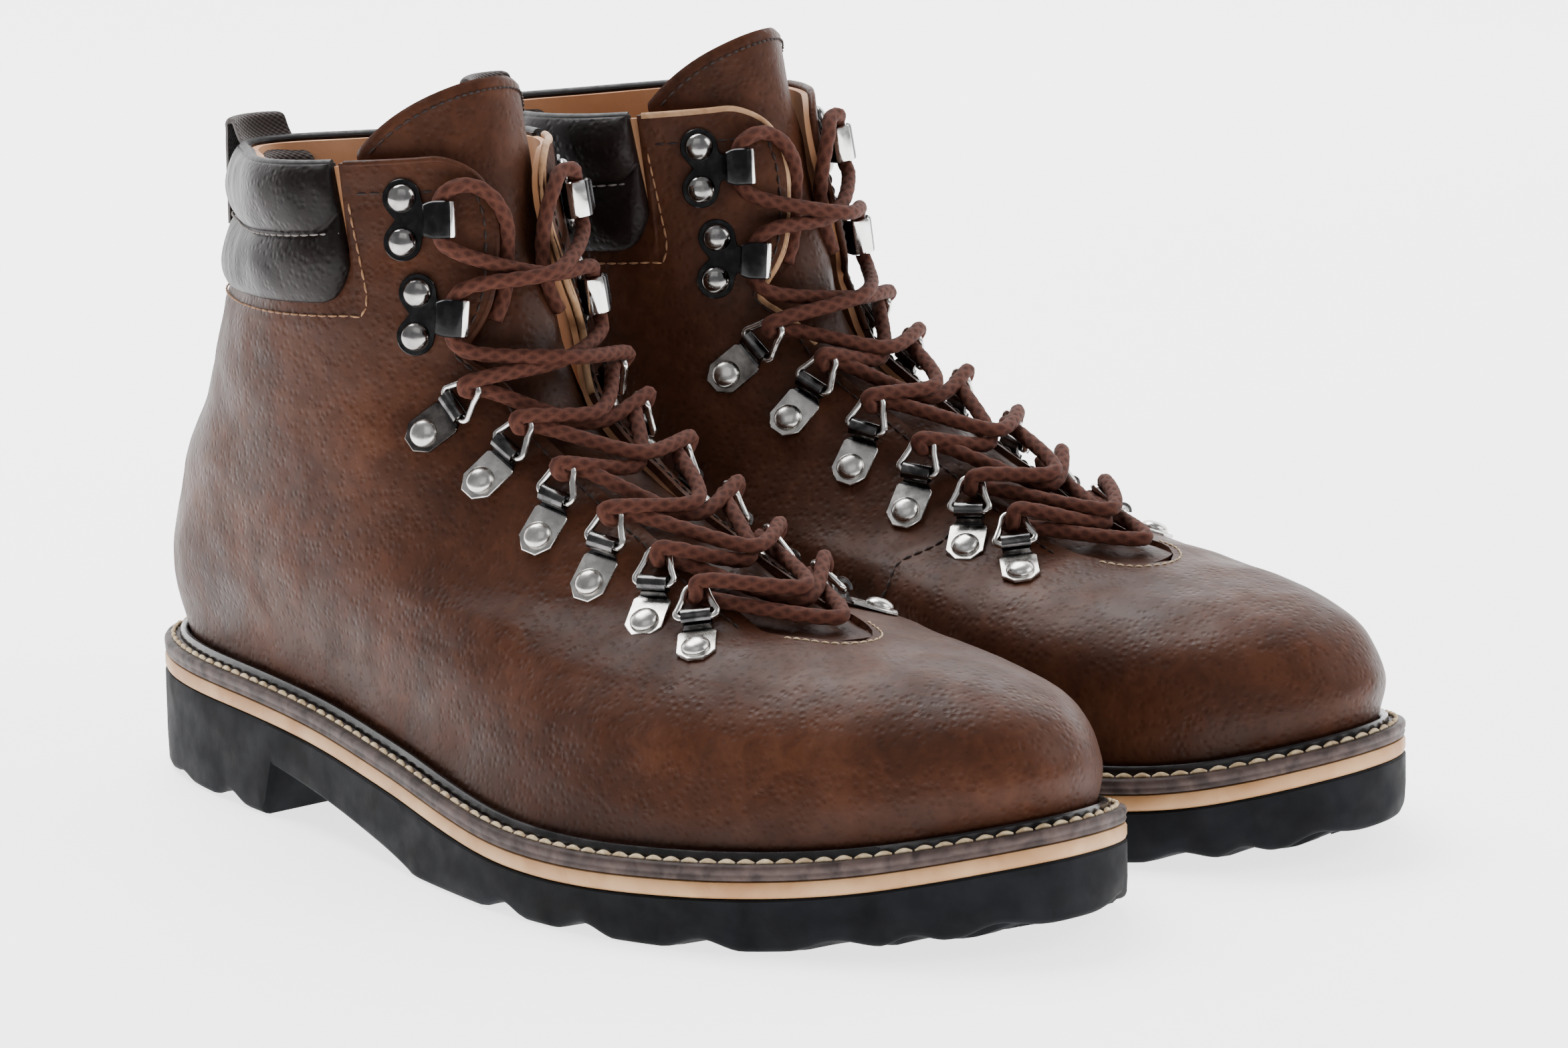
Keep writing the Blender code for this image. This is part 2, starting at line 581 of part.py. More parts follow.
def make_pull_loop(boot):
    """Webbing strap at the heel, folded over above the collar to make a finger loop."""
    back = BACK_Y[-2]
    out_y = back + COLLAR_BULGE + .9 + LOOP_THICK
    in_y = back - COLLAR_DEEP - LINING_THICK - 2.4 - LOOP_THICK
    mid, radius = (out_y + in_y) / 2, (out_y - in_y) / 2
    turns = np.linspace(0, math.pi, 8)
    centre_z = LOOP_TOP_Z - radius
    outer = [(mid + radius * math.cos(a), centre_z + radius * math.sin(a)) for a in turns]
    within = radius - LOOP_THICK
    inner = [(mid + within * math.cos(a), centre_z + within * math.sin(a)) for a in turns]
    outer = [(out_y, LOOP_FOOT_Z)] + outer + [(in_y, LOOP_INNER_FOOT_Z)]
    inner = [(out_y - LOOP_THICK, LOOP_FOOT_Z)] + inner + [(in_y + LOOP_THICK, LOOP_INNER_FOOT_Z)]
    new_object("pull_loop", thick_patch("loop", strap(outer), strap(inner), boot), boot, WEBBING)


def make_ring_mounts(boot, lateral):
    """Six riveted plates with rolled tubes, on the backing strip that ties them together."""
    frames = [ring_frame(i, lateral) for i in range(6)]
    route = [to_metres(fitting_point(f, 0, 2.6, PLATE_LIFT + .45), boot) for f in frames]
    strip_points = []
    for a, b in zip(route[:-1], route[1:]):
        strip_points += [a + (b - a) * t for t in (0, .5)]
    side = "lateral" if lateral else "medial"
    strip = new_object(side + "_ring_mounts", curve_mesh(strip_points + [route[-1]], .7, 0), boot,
                       NICKEL)
    bm, bores = bmesh.new(), bmesh.new()
    for f in frames:
        sign = out_sign(f, boot)
        matrix = fitting_matrix(f, boot)
        half, inner_end, outer_end = PLATE_WIDE / 2, .6, RIVET_FROM_TUBE + 4.6
        outline = [(-half, inner_end), (half, inner_end), (half, outer_end - 2.8),
                   (half - 2.6, outer_end), (-half + 2.6, outer_end), (-half, outer_end - 2.8)]
        outline = [(x, y * sign) for x, y in outline]
        prism(bm, outline, PLATE_LIFT, PLATE_LIFT + PLATE_THICK, matrix)
        head = fitting_matrix(f, boot, 0, RIVET_FROM_TUBE, PLATE_LIFT + PLATE_THICK)
        dome(bm, head, RIVET_RADIUS, RIVET_HIGH)
        tube = fitting_matrix(f, boot, 0, 0, TUBE_HIGH)
        rod(bm, tube, TUBE_RADIUS, TUBE_LONG / 2)
        rod(bores, tube, BORE_RADIUS, TUBE_LONG, 6)
    boolean(strip, cutter_object(side + "_mount_bodies", finish(bm, "bodies"), boot), "UNION", True)
    boolean(strip, cutter_object(side + "_tube_bores", finish(bores, "bores"), boot), "DIFFERENCE")


def ring_outline():
    """Rounded triangle in the ring's own plane: base on the X axis, apex at -Y."""
    half, reach = RING_BASE / 2, RING_REACH
    right = [(half - .8, 0), (half, -1.1), (half - .7, -3), (2.3, -reach + .8), (1.1, -reach)]
    return right + [(-x, y) for x, y in reversed(right)]


def make_d_rings(boot, lateral):
    """Wire rings, each turning in its tube; the origin is on the tube's axis."""
    side = "lateral" if lateral else "medial"
    lift = math.radians(RING_LIFT_DEG)
    for i in range(6):
        f = ring_frame(i, lateral)
        sign = out_sign(f, boot)
        points = [(x * MM, y * sign * math.cos(lift) * MM, -y * math.sin(lift) * MM)
                  for x, y in ring_outline()]
        mesh = curve_mesh(points, RING_WIRE, 1, cyclic=True)
        matrix = fitting_matrix(f, boot, 0, 0, TUBE_HIGH)
        new_object(f"{side}_d_ring_{i + 1}", mesh, boot, CHROME, matrix)


def hook_profile():
    """Side view of a speed hook: (out, height) along the plate, round the bend and back."""
    t, gullet = PLATE_THICK, HOOK_GULLET
    radius = gullet / 2 + t
    bend = [(-radius * math.sin(a), radius - radius * math.cos(a))
            for a in np.linspace(0, math.pi, 6)]
    inside = [(-(radius - t) * math.sin(a), radius - (radius - t) * math.cos(a))
              for a in np.linspace(math.pi, 0, 6)]
    lip = 4.2
    outer = [(6.5, 0)] + bend + [(lip, 2 * radius + .9), (lip, 2 * radius + .9 - t)]
    return outer + inside + [(6.5, t)]


def make_hooks(boot, lateral):
    side = "lateral" if lateral else "medial"
    for i in range(2):
        f = hook_frame(i, lateral)
        sign = out_sign(f, boot)
        bm = bmesh.new()
        matrix = Matrix.Identity(4)
        half = HOOK_WIDE / 2
        profile = [(y * sign, z + PLATE_LIFT) for y, z in hook_profile()]
        ends = [[bm.verts.new((x * MM, y * MM, z * MM)) for y, z in profile] for x in (-half, half)]
        bm.faces.new(ends[0])
        bm.faces.new(ends[1])
        grid_faces(bm, [ends[0] + ends[0][:1], ends[1] + ends[1][:1]])
        jaw = new_object(f"{side}_hook_{i + 1}", finish(bm, "jaw"), boot, BLACK_METAL,
                         fitting_matrix(f, boot))
        bm = bmesh.new()
        wide = 8.6
        outline = [(-half + .4, 4.5), (half - .4, 4.5), (wide, HOOK_REACH - 4), (wide, HOOK_REACH),
                   (wide - 2.6, HOOK_REACH + 3), (2.2, HOOK_REACH + 1.6), (-2.2, HOOK_REACH + 1.6),
                   (-wide + 2.6, HOOK_REACH + 3), (-wide, HOOK_REACH), (-wide, HOOK_REACH - 4)]
        outline = [(x, y * sign) for x, y in outline]
        prism(bm, outline, PLATE_LIFT + .05, PLATE_LIFT + PLATE_THICK - .05, matrix)
        for x in (-5.0, 5.0):
            dome(bm, Matrix.Translation((x * MM, (HOOK_REACH - 1.4) * sign * MM,
                                         (PLATE_LIFT + PLATE_THICK) * MM)), 3.3, RIVET_HIGH)
        plate = cutter_object(f"{side}_hook_plate_{i + 1}", finish(bm, "plate"), boot)
        plate.matrix_local = fitting_matrix(f, boot)
        boolean(jaw, plate, "UNION", True)


# ------------------------------------------------------------------ the lace

def over_throat(v, u, high):
    """Point by the throat: ring v, signed distance u from the centre line, height off the leather."""
    sign = 1 if u >= 0 else -1
    return shell(v, sign * angle_at(v, abs(u)), -high)


def ring_turn(i, side):
    """The lace round a ring's apex: in from below, up through the hole and back over the wire."""
    f = ring_frame(i, side > 0)
    lift = math.radians(RING_LIFT_DEG)
    apex = np.array([-RING_REACH * math.cos(lift), TUBE_HIGH + RING_REACH * math.sin(lift)])
    outward = np.array([math.cos(lift), -math.sin(lift)])
    upward = np.array([math.sin(lift), math.cos(lift)])
    points = []
    for turn, along in ((-72, -1.2), (-24, -.3), (24, .2), (74, .8), (124, 1.6)):
        a = math.radians(turn)
        out, high = apex + TURN_RADIUS * (math.cos(a) * outward + math.sin(a) * upward)
        points.append(fitting_point(f, along, out, high))
    return points


def hook_turn(i, side):
    """The lace round a hook: in from below, through the jaw and back to the throat above."""
    f = hook_frame(i, side > 0)
    high = PLATE_LIFT + PLATE_THICK + HOOK_GULLET / 2
    half = HOOK_WIDE / 2
    route = ((-half - 3, -2.8), (-half - .4, .3), (half + .4, .3), (half + 3, -2.8))
    return [fitting_point(f, along, out, high) for along, out in route]


def half_lace(side, high):
    """Route of one half of the lace: up from the bottom bar to its tucked end.

    side is that of its bottom ring (+1 lateral), high its height over the leather at crossings."""
    points = []
    for i in (5, 4, 3, 2, 1, 0):
        points += ring_turn(i, side)
        next_v = TUBE_V[i - 1] if i else HOOK_V[1]
        points.append(over_throat((TUBE_V[i] + next_v) / 2 + .06, 0, high))
        side = -side
    points += hook_turn(1, side)
    points.append(over_throat(sum(HOOK_V) / 2 - .05, 0, high))
    side = -side
    points += hook_turn(0, side)
    points += [over_throat(9.93, side * 9.6, 3.4), over_throat(9.86, side * 6.1, .6),
               over_throat(9.6, side * 6.0, -3.6), over_throat(9.25, side * 9.0, -5.4),
               over_throat(8.8, side * 11.0, -5.5)]
    return points


def make_lace(boot):
    """One lace: up both sides from the bottom bar, ends tucked behind the top flaps."""
    bar = [over_throat(TUBE_V[5] - .02, 0, BAR_HIGH)]
    route = half_lace(-1, CROSS_UNDER)[::-1] + bar + half_lace(1, CROSS_OVER)
    new_object("lace", curve_mesh(to_metres(route, boot), LACE_RADIUS, 2), boot, LACE)


# ------------------------------------------------------------------ materials and assembly

def material(name, colour, roughness, metallic=0.0):
    mat = bpy.data.materials.new(name)
    mat.use_nodes = True
    shader = mat.node_tree.nodes["Principled BSDF"]
    shader.inputs["Base Color"].default_value = (*colour, 1)
    shader.inputs["Roughness"].default_value = roughness
    shader.inputs["Metallic"].default_value = metallic
    return mat


for old in list(bpy.data.objects):
    bpy.data.objects.remove(old)
boots = bpy.data.collections.new("hiking_boots")
cutters = bpy.data.collections.new("cutters")
bpy.context.scene.collection.children.link(boots)
bpy.context.scene.collection.children.link(cutters)

LEATHER = material("brown_leather", (.17, .065, .032), .42)
COLLAR = material("collar_leather", (.03, .02, .022), .5)
TAN_LINING = material("tan_lining", (.62, .37, .2), .65)
RUBBER = material("black_rubber", (.012, .013, .016), .6)
TAN_RUBBER = material("tan_midsole", (.55, .33, .17), .6)
WELT = material("welt", (.09, .065, .06), .45)
BOARD = material("insole_board", (.35, .27, .18), .8)
STEEL = material("spring_steel", (.5, .5, .5), .35, 1.0)
NICKEL = material("nickel_plate", (.62, .62, .64), .28, 1.0)
CHROME = material("ring_wire", (.75, .75, .76), .2, 1.0)
BLACK_METAL = material("black_hook", (.02, .02, .022), .25, 1.0)
WEBBING = material("webbing", (.035, .022, .02), .85)
LACE = material("lace_cord", (.13, .045, .03), .85)

for side_name, mirror in (("right", -1), ("left", 1)):
    frame = bpy.data.objects.new(side_name + "_boot_frame", None)
    boots.objects.link(frame)
    frame.location = (mirror * HALF_SPACING * MM, MIDDLE_Y * MM, 0)
    frame.rotation_euler = (0, 0, math.radians(SPLAY_DEG) * mirror)
    this_boot = {"side": side_name, "mirror": mirror, "frame": frame}
    make_sole(this_boot)
    make_upper(this_boot)
    make_lining(this_boot)
    make_tongue(this_boot)
    make_collar(this_boot)
    make_pull_loop(this_boot)
    for is_lateral in (True, False):
        make_ring_mounts(this_boot, is_lateral)
        make_d_rings(this_boot, is_lateral)
        make_hooks(this_boot, is_lateral)
    make_lace(this_boot)
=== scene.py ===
"""Hiking boots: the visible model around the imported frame.

Each boot is shaped in its own local frame: u to the lateral side, y to the heel, z up, in mm.
"""
import math

import bmesh
import bpy
import numpy as np
from mathutils import Matrix, Vector

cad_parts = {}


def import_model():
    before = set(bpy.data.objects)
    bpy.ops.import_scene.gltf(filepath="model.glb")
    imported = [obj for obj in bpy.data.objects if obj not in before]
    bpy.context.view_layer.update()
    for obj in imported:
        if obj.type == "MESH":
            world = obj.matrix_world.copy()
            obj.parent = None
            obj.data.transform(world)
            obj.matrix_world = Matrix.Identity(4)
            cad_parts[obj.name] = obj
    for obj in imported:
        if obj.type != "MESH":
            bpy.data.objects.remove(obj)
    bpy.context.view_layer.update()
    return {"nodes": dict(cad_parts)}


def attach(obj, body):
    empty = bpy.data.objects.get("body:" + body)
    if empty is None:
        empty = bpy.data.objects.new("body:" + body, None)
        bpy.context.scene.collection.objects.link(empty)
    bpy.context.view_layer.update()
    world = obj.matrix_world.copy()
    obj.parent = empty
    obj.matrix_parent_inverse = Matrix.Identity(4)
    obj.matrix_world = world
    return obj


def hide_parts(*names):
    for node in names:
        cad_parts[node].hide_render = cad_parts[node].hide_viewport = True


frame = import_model()

MM = 0.001
HALF_SPACING, SPLAY_DEG, MIDDLE_Y = 54.5, 6.5, -.89
TOE_Y, HEEL_Y = -153.0, 156.5
SOLE_S = [0, .06, .13, .21, .29, .38, .48, .58, .68, .78, .88, .95, 1]
SOLE_LATERAL = [43, 46, 50, 55, 57.5, 56.5, 52, 45.5, 40, 37.5, 36.5, 35.5, 34]
SOLE_MEDIAL = [55, 58, 60, 59.5, 55, 47, 39, 36, 37, 38.5, 38.5, 36.5, 34]
TOE_SHIFT, TOE_SHIFT_FROM = -15.0, .45
STRIP_S = [0, .1, .25, .38, .55, .75, 1]
STRIP_Z = [22.4, 15.5, 11.9, 11.7, 18, 23.7, 24.7]
WELT_TOP, RIM_HIGH = 8.3, 2.2
HEEL_BREAST_Y, HEEL_BREAST_RUN = 82.0, 4.0
ARCH_FRONT_Y, ARCH_HIGH = 8.0, 13.0
TOE_SPRING_Y, TOE_SPRING = -88.0, 7.5
FRONT_Y = [-146, -149, -141.5, -123, -98, -70, -45, -18, 6, 15.5, 25, 30]
FRONT_Z = [31, 42, 54, 61, 64, 67.5, 77.5, 90.5, 105, 130, 166, 188]
BACK_Y = [149.5, 152, 153, 152.5, 151, 148.5, 144, 134.8, 127.1, 124, 124, 124]
BACK_Z = [33, 40, 47, 54, 62, 71, 83, 98, 116, 136, 158, 180]
FRONT_SHIFT = [-15, -15, -14, -12, -10, -8, -6, -4, -3, -2, -2, -2]
FRONT_ROUNDNESS = [4, 4, 4, 3.8, 3.4, 3, 2.8, 2.6, 2.5, 2.4, 2.4, 2.4]
BACK_ROUNDNESS = [4, 4, 4, 3.8, 3.4, 3, 2.8, 2.2, 2.2, 2, 2, 2]
WIDTH_V = [0, 2, 4, 6, 8, 10, 11]
WIDTH_S = [0, .12, .25, .4, .55, .7, .85, 1]
WIDTH_LATERAL = [[38, 46, 50, 49, 42, 33.5, 30, 28],
                 [34, 40, 46, 46.5, 41.5, 35.5, 32, 30],
                 [28, 33, 38.5, 41, 38.5, 35.5, 33, 31],
                 [26, 28.5, 31.5, 34.5, 35.5, 34.5, 33, 31],
                 [27, 29.5, 32, 34, 35, 34.5, 33, 31],
                 [28, 31.5, 34.5, 37, 34.5, 28.5, 22, 20],
                 [28, 32, 35, 38, 35.5, 29, 22.5, 20.5]]
WIDTH_MEDIAL = [[48, 52, 52, 42, 31.5, 31, 31, 28],
                [40, 46, 48, 42, 34, 33.5, 32.5, 30],
                [30, 35, 40, 39, 35, 34.5, 33, 31],
                [26, 28.5, 31.5, 34.5, 34.5, 34, 33, 31],
                [27, 29.5, 32, 34, 35, 34.5, 33, 31],
                [28, 31.5, 34.5, 37, 35, 30, 24, 22],
                [28, 32, 35, 38, 36, 30.5, 24.5, 22.5]]
FEATHER_INSET, FEATHER_BLEND_V = 7.2, 3.0
UPPER_THICK, LINING_THICK = 1.6, 1.0
COLLAR_S, COLLAR_V_SIDE, COLLAR_V_BACK = .28, 9.0, 8.55
COLLAR_PHI = math.acos(1 - 2 * COLLAR_S)
TUBE_V = [8.0, 7.45, 6.75, 6.07, 5.38, 4.65]
TUBE_U = [22, 18.8, 18.5, 18.7, 19, 21.2]
RIVET_V = [7.66, 6.98, 6.2, 5.48, 4.67, 3.78]
RIVET_U = [27, 25, 24.4, 24.6, 26.2, 29.5]
HOOK_V, HOOK_U, HOOK_RIVET_U = [9.58, 8.92], [17.8, 18.4], [25.2, 25.6]
PLATE_WIDE, PLATE_THICK, CAD_LIFT = 9.2, .8, 1.3
RIVET_RADIUS, RIVET_HIGH, RIVET_FROM_TUBE = 3.5, 1.7, 9.6
TUBE_RADIUS, TUBE_LONG = 1.9, 7.0
RING_WIRE, RING_BASE, RING_REACH, RING_LIFT_DEG = .85, 9.6, 8.6, 24.0
HOOK_WIDE, HOOK_GULLET, HOOK_REACH = 9.0, 4.3, 11.5
LACE_RADIUS, TURN_RADIUS = 1.8, 2.75
CROSS_UNDER, CROSS_OVER, BAR_HIGH = 2.6, 6.3, 2.9
TUBE_HIGH = CAD_LIFT + TUBE_RADIUS

# ---- camera

CAM_AZ, CAM_EL, CAM_ROLL, CAM_DIST = -47.46, 11.21, -1.11, 1.895
FRAME_WIDE = .379794             # metres that the frame shows at the aim point's distance
AIM = np.array([.0092, -.0076, .09])
LOOK_RIGHT, LOOK_UP = -.000421, -.020212     # the frame's middle, from the aim point
SENSOR = 36


def unit(v):
    return v / np.maximum(np.linalg.norm(v, axis=-1, keepdims=True), 1e-9)


def make_camera():
    a, e, r = (math.radians(x) for x in (CAM_AZ, CAM_EL, CAM_ROLL))
    back = np.array([math.sin(a) * math.cos(e), -math.cos(a) * math.cos(e), math.sin(e)])
    right = unit(np.cross(-back, (0, 0, 1)))
    up = np.cross(right, -back)
    right, up = math.cos(r) * right + math.sin(r) * up, -math.sin(r) * right + math.cos(r) * up
    place = AIM + back * CAM_DIST
    target = AIM + right * LOOK_RIGHT + up * LOOK_UP
    back = unit(place - target)
    right = unit(np.cross(up, back))
    up = np.cross(back, right)
    data = bpy.data.cameras.new("camera")
    data.sensor_width = SENSOR
    data.lens = SENSOR * CAM_DIST / FRAME_WIDE
    data.clip_start, data.clip_end = .05, 50
    cam = bpy.data.objects.new("camera", data)
    bpy.context.scene.collection.objects.link(cam)
    m = Matrix((Vector(right), Vector(up), Vector(back))).transposed().to_4x4()
    m.translation = Vector(place)
    cam.matrix_world = m
    bpy.context.scene.camera = cam


make_camera()

# ---- surface of the last


def hermite(t, h, a, b, slope_a, slope_b):
    value = a * (1 + 2 * t) * (1 - t) ** 2 + b * t * t * (3 - 2 * t)
    return value + h * (slope_a * t * (1 - t) ** 2 + slope_b * t * t * (t - 1))


def smooth(xs, ys, x):
    """Smooth curve through (xs, ys), read at x."""
    xs, ys, x = np.asarray(xs, float), np.asarray(ys, float), np.asarray(x, float)
    m = np.gradient(ys, xs, axis=0)
    i = np.clip(np.searchsorted(xs, x) - 1, 0, len(xs) - 2)
    h = xs[i + 1] - xs[i]
    return hermite((x - xs[i]) / h, h, ys[i], ys[i + 1], m[i], m[i + 1])


def strip_z(y):
    return smooth(STRIP_S, STRIP_Z, np.clip((y - TOE_Y) / (HEEL_Y - TOE_Y), 0, 1))


def ring_width(v, s, lateral):
    table = np.array(WIDTH_LATERAL if lateral else WIDTH_MEDIAL, float)
    rows = np.stack([smooth(WIDTH_S, row, s) for row in table])
    xs = np.array(WIDTH_V, float)
    m = np.gradient(rows, xs, axis=0)
    i = np.clip(np.searchsorted(xs, v) - 1, 0, len(xs) - 2)
    h = xs[i + 1] - xs[i]

    def pick(rows_of, k):
        return np.take_along_axis(rows_of, k[None], 0)[0]

    return hermite((v - xs[i]) / h, h, pick(rows, i), pick(rows, i + 1), pick(m, i), pick(m, i + 1))


def sole_centre(s):
    return TOE_SHIFT * np.clip((TOE_SHIFT_FROM - s) / TOE_SHIFT_FROM, 0, 1) ** 2


def ring_point(v, phi):
    """Outside of the upper: ring v, angle phi (0 front, pi back, + lateral)."""
    v, phi = np.broadcast_arrays(np.asarray(v, float), np.asarray(phi, float))
    keys = np.arange(len(FRONT_Y), dtype=float)
    s = (1 - np.cos(phi)) / 2
    side = np.where(np.sin(phi) >= 0, 1.0, -1.0)
    front_y, front_z = smooth(keys, FRONT_Y, v), smooth(keys, FRONT_Z, v)
    back_y, back_z = smooth(keys, BACK_Y, v), smooth(keys, BACK_Z, v)
    width = np.where(side > 0, ring_width(v, s, True), ring_width(v, s, False))
    power = np.where(s < .5, smooth(keys, FRONT_ROUNDNESS, v), smooth(keys, BACK_ROUNDNESS, v))
    ends = np.sqrt(np.clip(1 - np.abs(2 * s - 1) ** power, 0, 1))
    u = smooth(keys, FRONT_SHIFT, v) * (1 - s) ** 2 + side * width * ends
    sole_width = np.where(side > 0, smooth(SOLE_S, SOLE_LATERAL, s), smooth(SOLE_S, SOLE_MEDIAL, s))
    on_sole = sole_centre(s) + side * (sole_width - FEATHER_INSET) * ends
    u = u + (on_sole - u) * np.clip(1 - v / FEATHER_BLEND_V, 0, 1) ** 1.2
    y = front_y + (back_y - front_y) * s
    z = front_z + (back_z - front_z) * s
    flat = strip_z(y) + WELT_TOP + .2 - (FRONT_Z[0] + (BACK_Z[0] - FRONT_Z[0]) * s)
    z = z + flat * np.clip(1 - v / 6, 0, 1) ** 1.6
    return np.stack([u, y, z], -1)


def shell(v, phi, depth=0.0):
    """Point `depth` under the upper's outer surface (negative stands proud)."""
    v, phi = np.asarray(v, float), np.asarray(phi, float)
    across = ring_point(v, phi + .02) - ring_point(v, phi - .02)
    up = ring_point(v + .04, phi) - ring_point(v - .04, phi)
    return ring_point(v, phi) - unit(np.cross(across, up)) * np.asarray(depth, float)[..., None]


def angle_at(v, half_width):
    """Angle at which ring v is half_width away from its own centre line."""
    phi = np.linspace(0, 1.7, 120)
    p = ring_point(v, phi)
    s = (1 - np.cos(phi)) / 2
    centre = smooth(np.arange(len(FRONT_SHIFT)), FRONT_SHIFT, v) * (1 - s) ** 2
    return float(np.interp(half_width, np.maximum.accumulate(p[:, 0] - centre), phi))


def phi_of(s, side=1):
    return side * np.arccos(1 - 2 * np.asarray(s, float))


def wrap(phi):
    return (phi + math.pi) % (2 * math.pi) - math.pi


def wobble(p, size, seed):
    """Smooth deterministic noise in -1..1 over points in mm, at about the given size."""
    rng = np.random.RandomState(seed)
    out = np.zeros(p.shape[:-1])
    for _ in range(7):
        k = rng.normal(size=3)
        k *= (2 * math.pi / size) * rng.uniform(.6, 1.4) / np.linalg.norm(k)
        out += np.sin(p @ k + rng.uniform(0, 6.28))
    return out / 4


# ---- mesh helpers

def world(points, side):
    """Boot-local mm (u, y, z) to world metres."""
    p = np.asarray(points, float)
    turn = math.radians(SPLAY_DEG) * side
    x, y = p[..., 0] * side, p[..., 1]
    return np.stack([x * math.cos(turn) - y * math.sin(turn) + side * HALF_SPACING,
                     x * math.sin(turn) + y * math.cos(turn) + MIDDLE_Y, p[..., 2]], -1) * MM


def mesh_object(name, verts, faces, material, sharp=50, mats=None, weld=True):
    """Object from world-space verts and faces; faces may be an int array or a list."""
    mesh = bpy.data.meshes.new(name)
    mesh.from_pydata([tuple(v) for v in np.asarray(verts).reshape(-1, 3)], [],
                     [tuple(int(i) for i in f) for f in faces])
    materials = material if isinstance(material, (list, tuple)) else [material]
    for m in materials:
        mesh.materials.append(m)
    if mats is not None:
        mesh.polygons.foreach_set("material_index", np.asarray(mats, np.int32))
    bm = bmesh.new()
    bm.from_mesh(mesh)
    if weld:
        bmesh.ops.remove_doubles(bm, verts=bm.verts, dist=2e-6)
    bmesh.ops.dissolve_degenerate(bm, edges=bm.edges, dist=1e-7)
    bmesh.ops.recalc_face_normals(bm, faces=bm.faces)
    bm.to_mesh(mesh)
    bm.free()
    mesh.shade_smooth()
    if sharp:
        mesh.set_sharp_from_angle(angle=math.radians(sharp))
    obj = bpy.data.objects.new(name, mesh)
    bpy.context.scene.collection.objects.link(obj)
    return obj


def quads(rows, cols, start=0, closed_cols=False, closed_rows=False):
    r = np.arange(rows if closed_rows else rows - 1)
    c = np.arange(cols if closed_cols else cols - 1)
    r, c = np.meshgrid(r, c, indexing="ij")
    r2, c2 = (r + 1) % rows, (c + 1) % cols
    a, b, d, e = r * cols + c, r * cols + c2, r2 * cols + c2, r2 * cols + c
    return np.stack([a, b, d, e], -1).reshape(-1, 4) + start


def capped(rows, cols):
    """Faces of a tube of rows x cols points with a flat cap at each end."""
    ends = [tuple(range(cols)), tuple(range((rows - 1) * cols, rows * cols))]
    return list(quads(rows, cols, 0, True)) + ends


def thick_grid(outer, inner, first_open=0):
    """Verts and faces of the solid between two (rows, cols, 3) grids.

    Rows before first_open close on themselves, so they get no side walls.
    """
    rows, cols = np.shape(outer)[:2]
    n = rows * cols
    verts = np.array([outer, inner]).reshape(-1, 3)
    faces = [quads(rows, cols), quads(rows, cols, n)]
    index = np.arange(n).reshape(rows, cols)
    for line in (index[0], index[-1], index[first_open:, 0], index[first_open:, -1]):
        faces.append(np.stack([line[:-1], line[1:], line[1:] + n, line[:-1] + n], -1))
    return verts, np.concatenate(faces)


class Pile:
    """Collects many small closed shapes into one mesh."""

    def __init__(self):
        self.verts, self.faces, self.mats, self.count = [], [], [], 0

    def add(self, verts, faces, mat=0):
        verts = np.asarray(verts, float).reshape(-1, 3)
        self.verts.append(verts)
        for k, f in enumerate(faces):
            self.faces.append(tuple(int(i) + self.count for i in f))
            self.mats.append(mat[k] if isinstance(mat, list) else mat)
        self.count += len(verts)

    def build(self, name, side, material, sharp=50, weld=False):
        return mesh_object(name, world(np.concatenate(self.verts), side), self.faces, material,
                           sharp, self.mats, weld)


def frames_along(points, closed=False):
    """Tangents, and two normals carried along the line without twist."""
    p = np.asarray(points, float)
    t = np.roll(p, -1, 0) - np.roll(p, 1, 0)
    if not closed:
        t[0], t[-1] = p[1] - p[0], p[-1] - p[-2]
    t = unit(t)
    a = np.cross(t[0], (0, 0, 1.0))
    if np.linalg.norm(a) < .1:
        a = np.cross(t[0], (0, 1.0, 0))
    first = []
    for along in t:
        a = unit(a - along * a.dot(along))
        first.append(a)
    first = np.array(first)
    if closed:
        last = first[-1] - t[0] * first[-1].dot(t[0])
        twist = math.atan2(np.cross(last, first[0]).dot(t[0]), last.dot(first[0]))
        turn = np.linspace(0, 1, len(p)) * twist
        second = np.cross(t, first)
        first = first * np.cos(turn)[:, None] + second * np.sin(turn)[:, None]
    return t, first, np.cross(t, first)


def tube(points, radius, sides=16, closed=False, profile=None):
    """Verts and faces of a round tube; profile(i, angles) may scale its radius."""
    p = np.asarray(points, float)
    _, a, b = frames_along(p, closed)
    ang = np.linspace(0, 2 * math.pi, sides, endpoint=False)
    scale = np.ones((len(p), sides)) if profile is None else profile(np.arange(len(p))[:, None], ang)
    ring = (np.cos(ang)[None, :, None] * a[:, None] + np.sin(ang)[None, :, None] * b[:, None])
    verts = p[:, None] + ring * (np.asarray(radius) * scale)[..., None]
    faces = quads(len(p), sides, 0, True, True) if closed else capped(len(p), sides)
    return verts.reshape(-1, 3), faces


def arc_length(points):
    return np.concatenate([[0], np.cumsum(np.linalg.norm(np.diff(points, axis=0), axis=1))])


def resample(points, step, closed=False):
    """Smooth curve through the points, read at equal steps."""
    pts = np.asarray(points, float)
    if closed:
        pts = np.concatenate([pts[-3:], pts, pts[:4]])
    knots = np.concatenate([[0], np.cumsum(np.linalg.norm(np.diff(pts, axis=0), axis=1) ** .5)])
    lo, hi = (knots[3], knots[-4]) if closed else (knots[0], knots[-1])
    at = np.linspace(lo, hi, 60 * len(pts))
    fine = np.stack([smooth(knots, pts[:, c], at) for c in range(3)], -1)
    length = arc_length(fine)
    at = np.linspace(0, length[-1], max(int(round(length[-1] / step)), 3) + 1)
    out = np.stack([np.interp(at, length, column) for column in fine.T], -1)
    return out[:-1] if closed else out


def resample_flat(points, step, closed=False):
    return resample(np.column_stack([points, np.zeros(len(points))]), step, closed)[:, :2]


# ---- fittings' frames

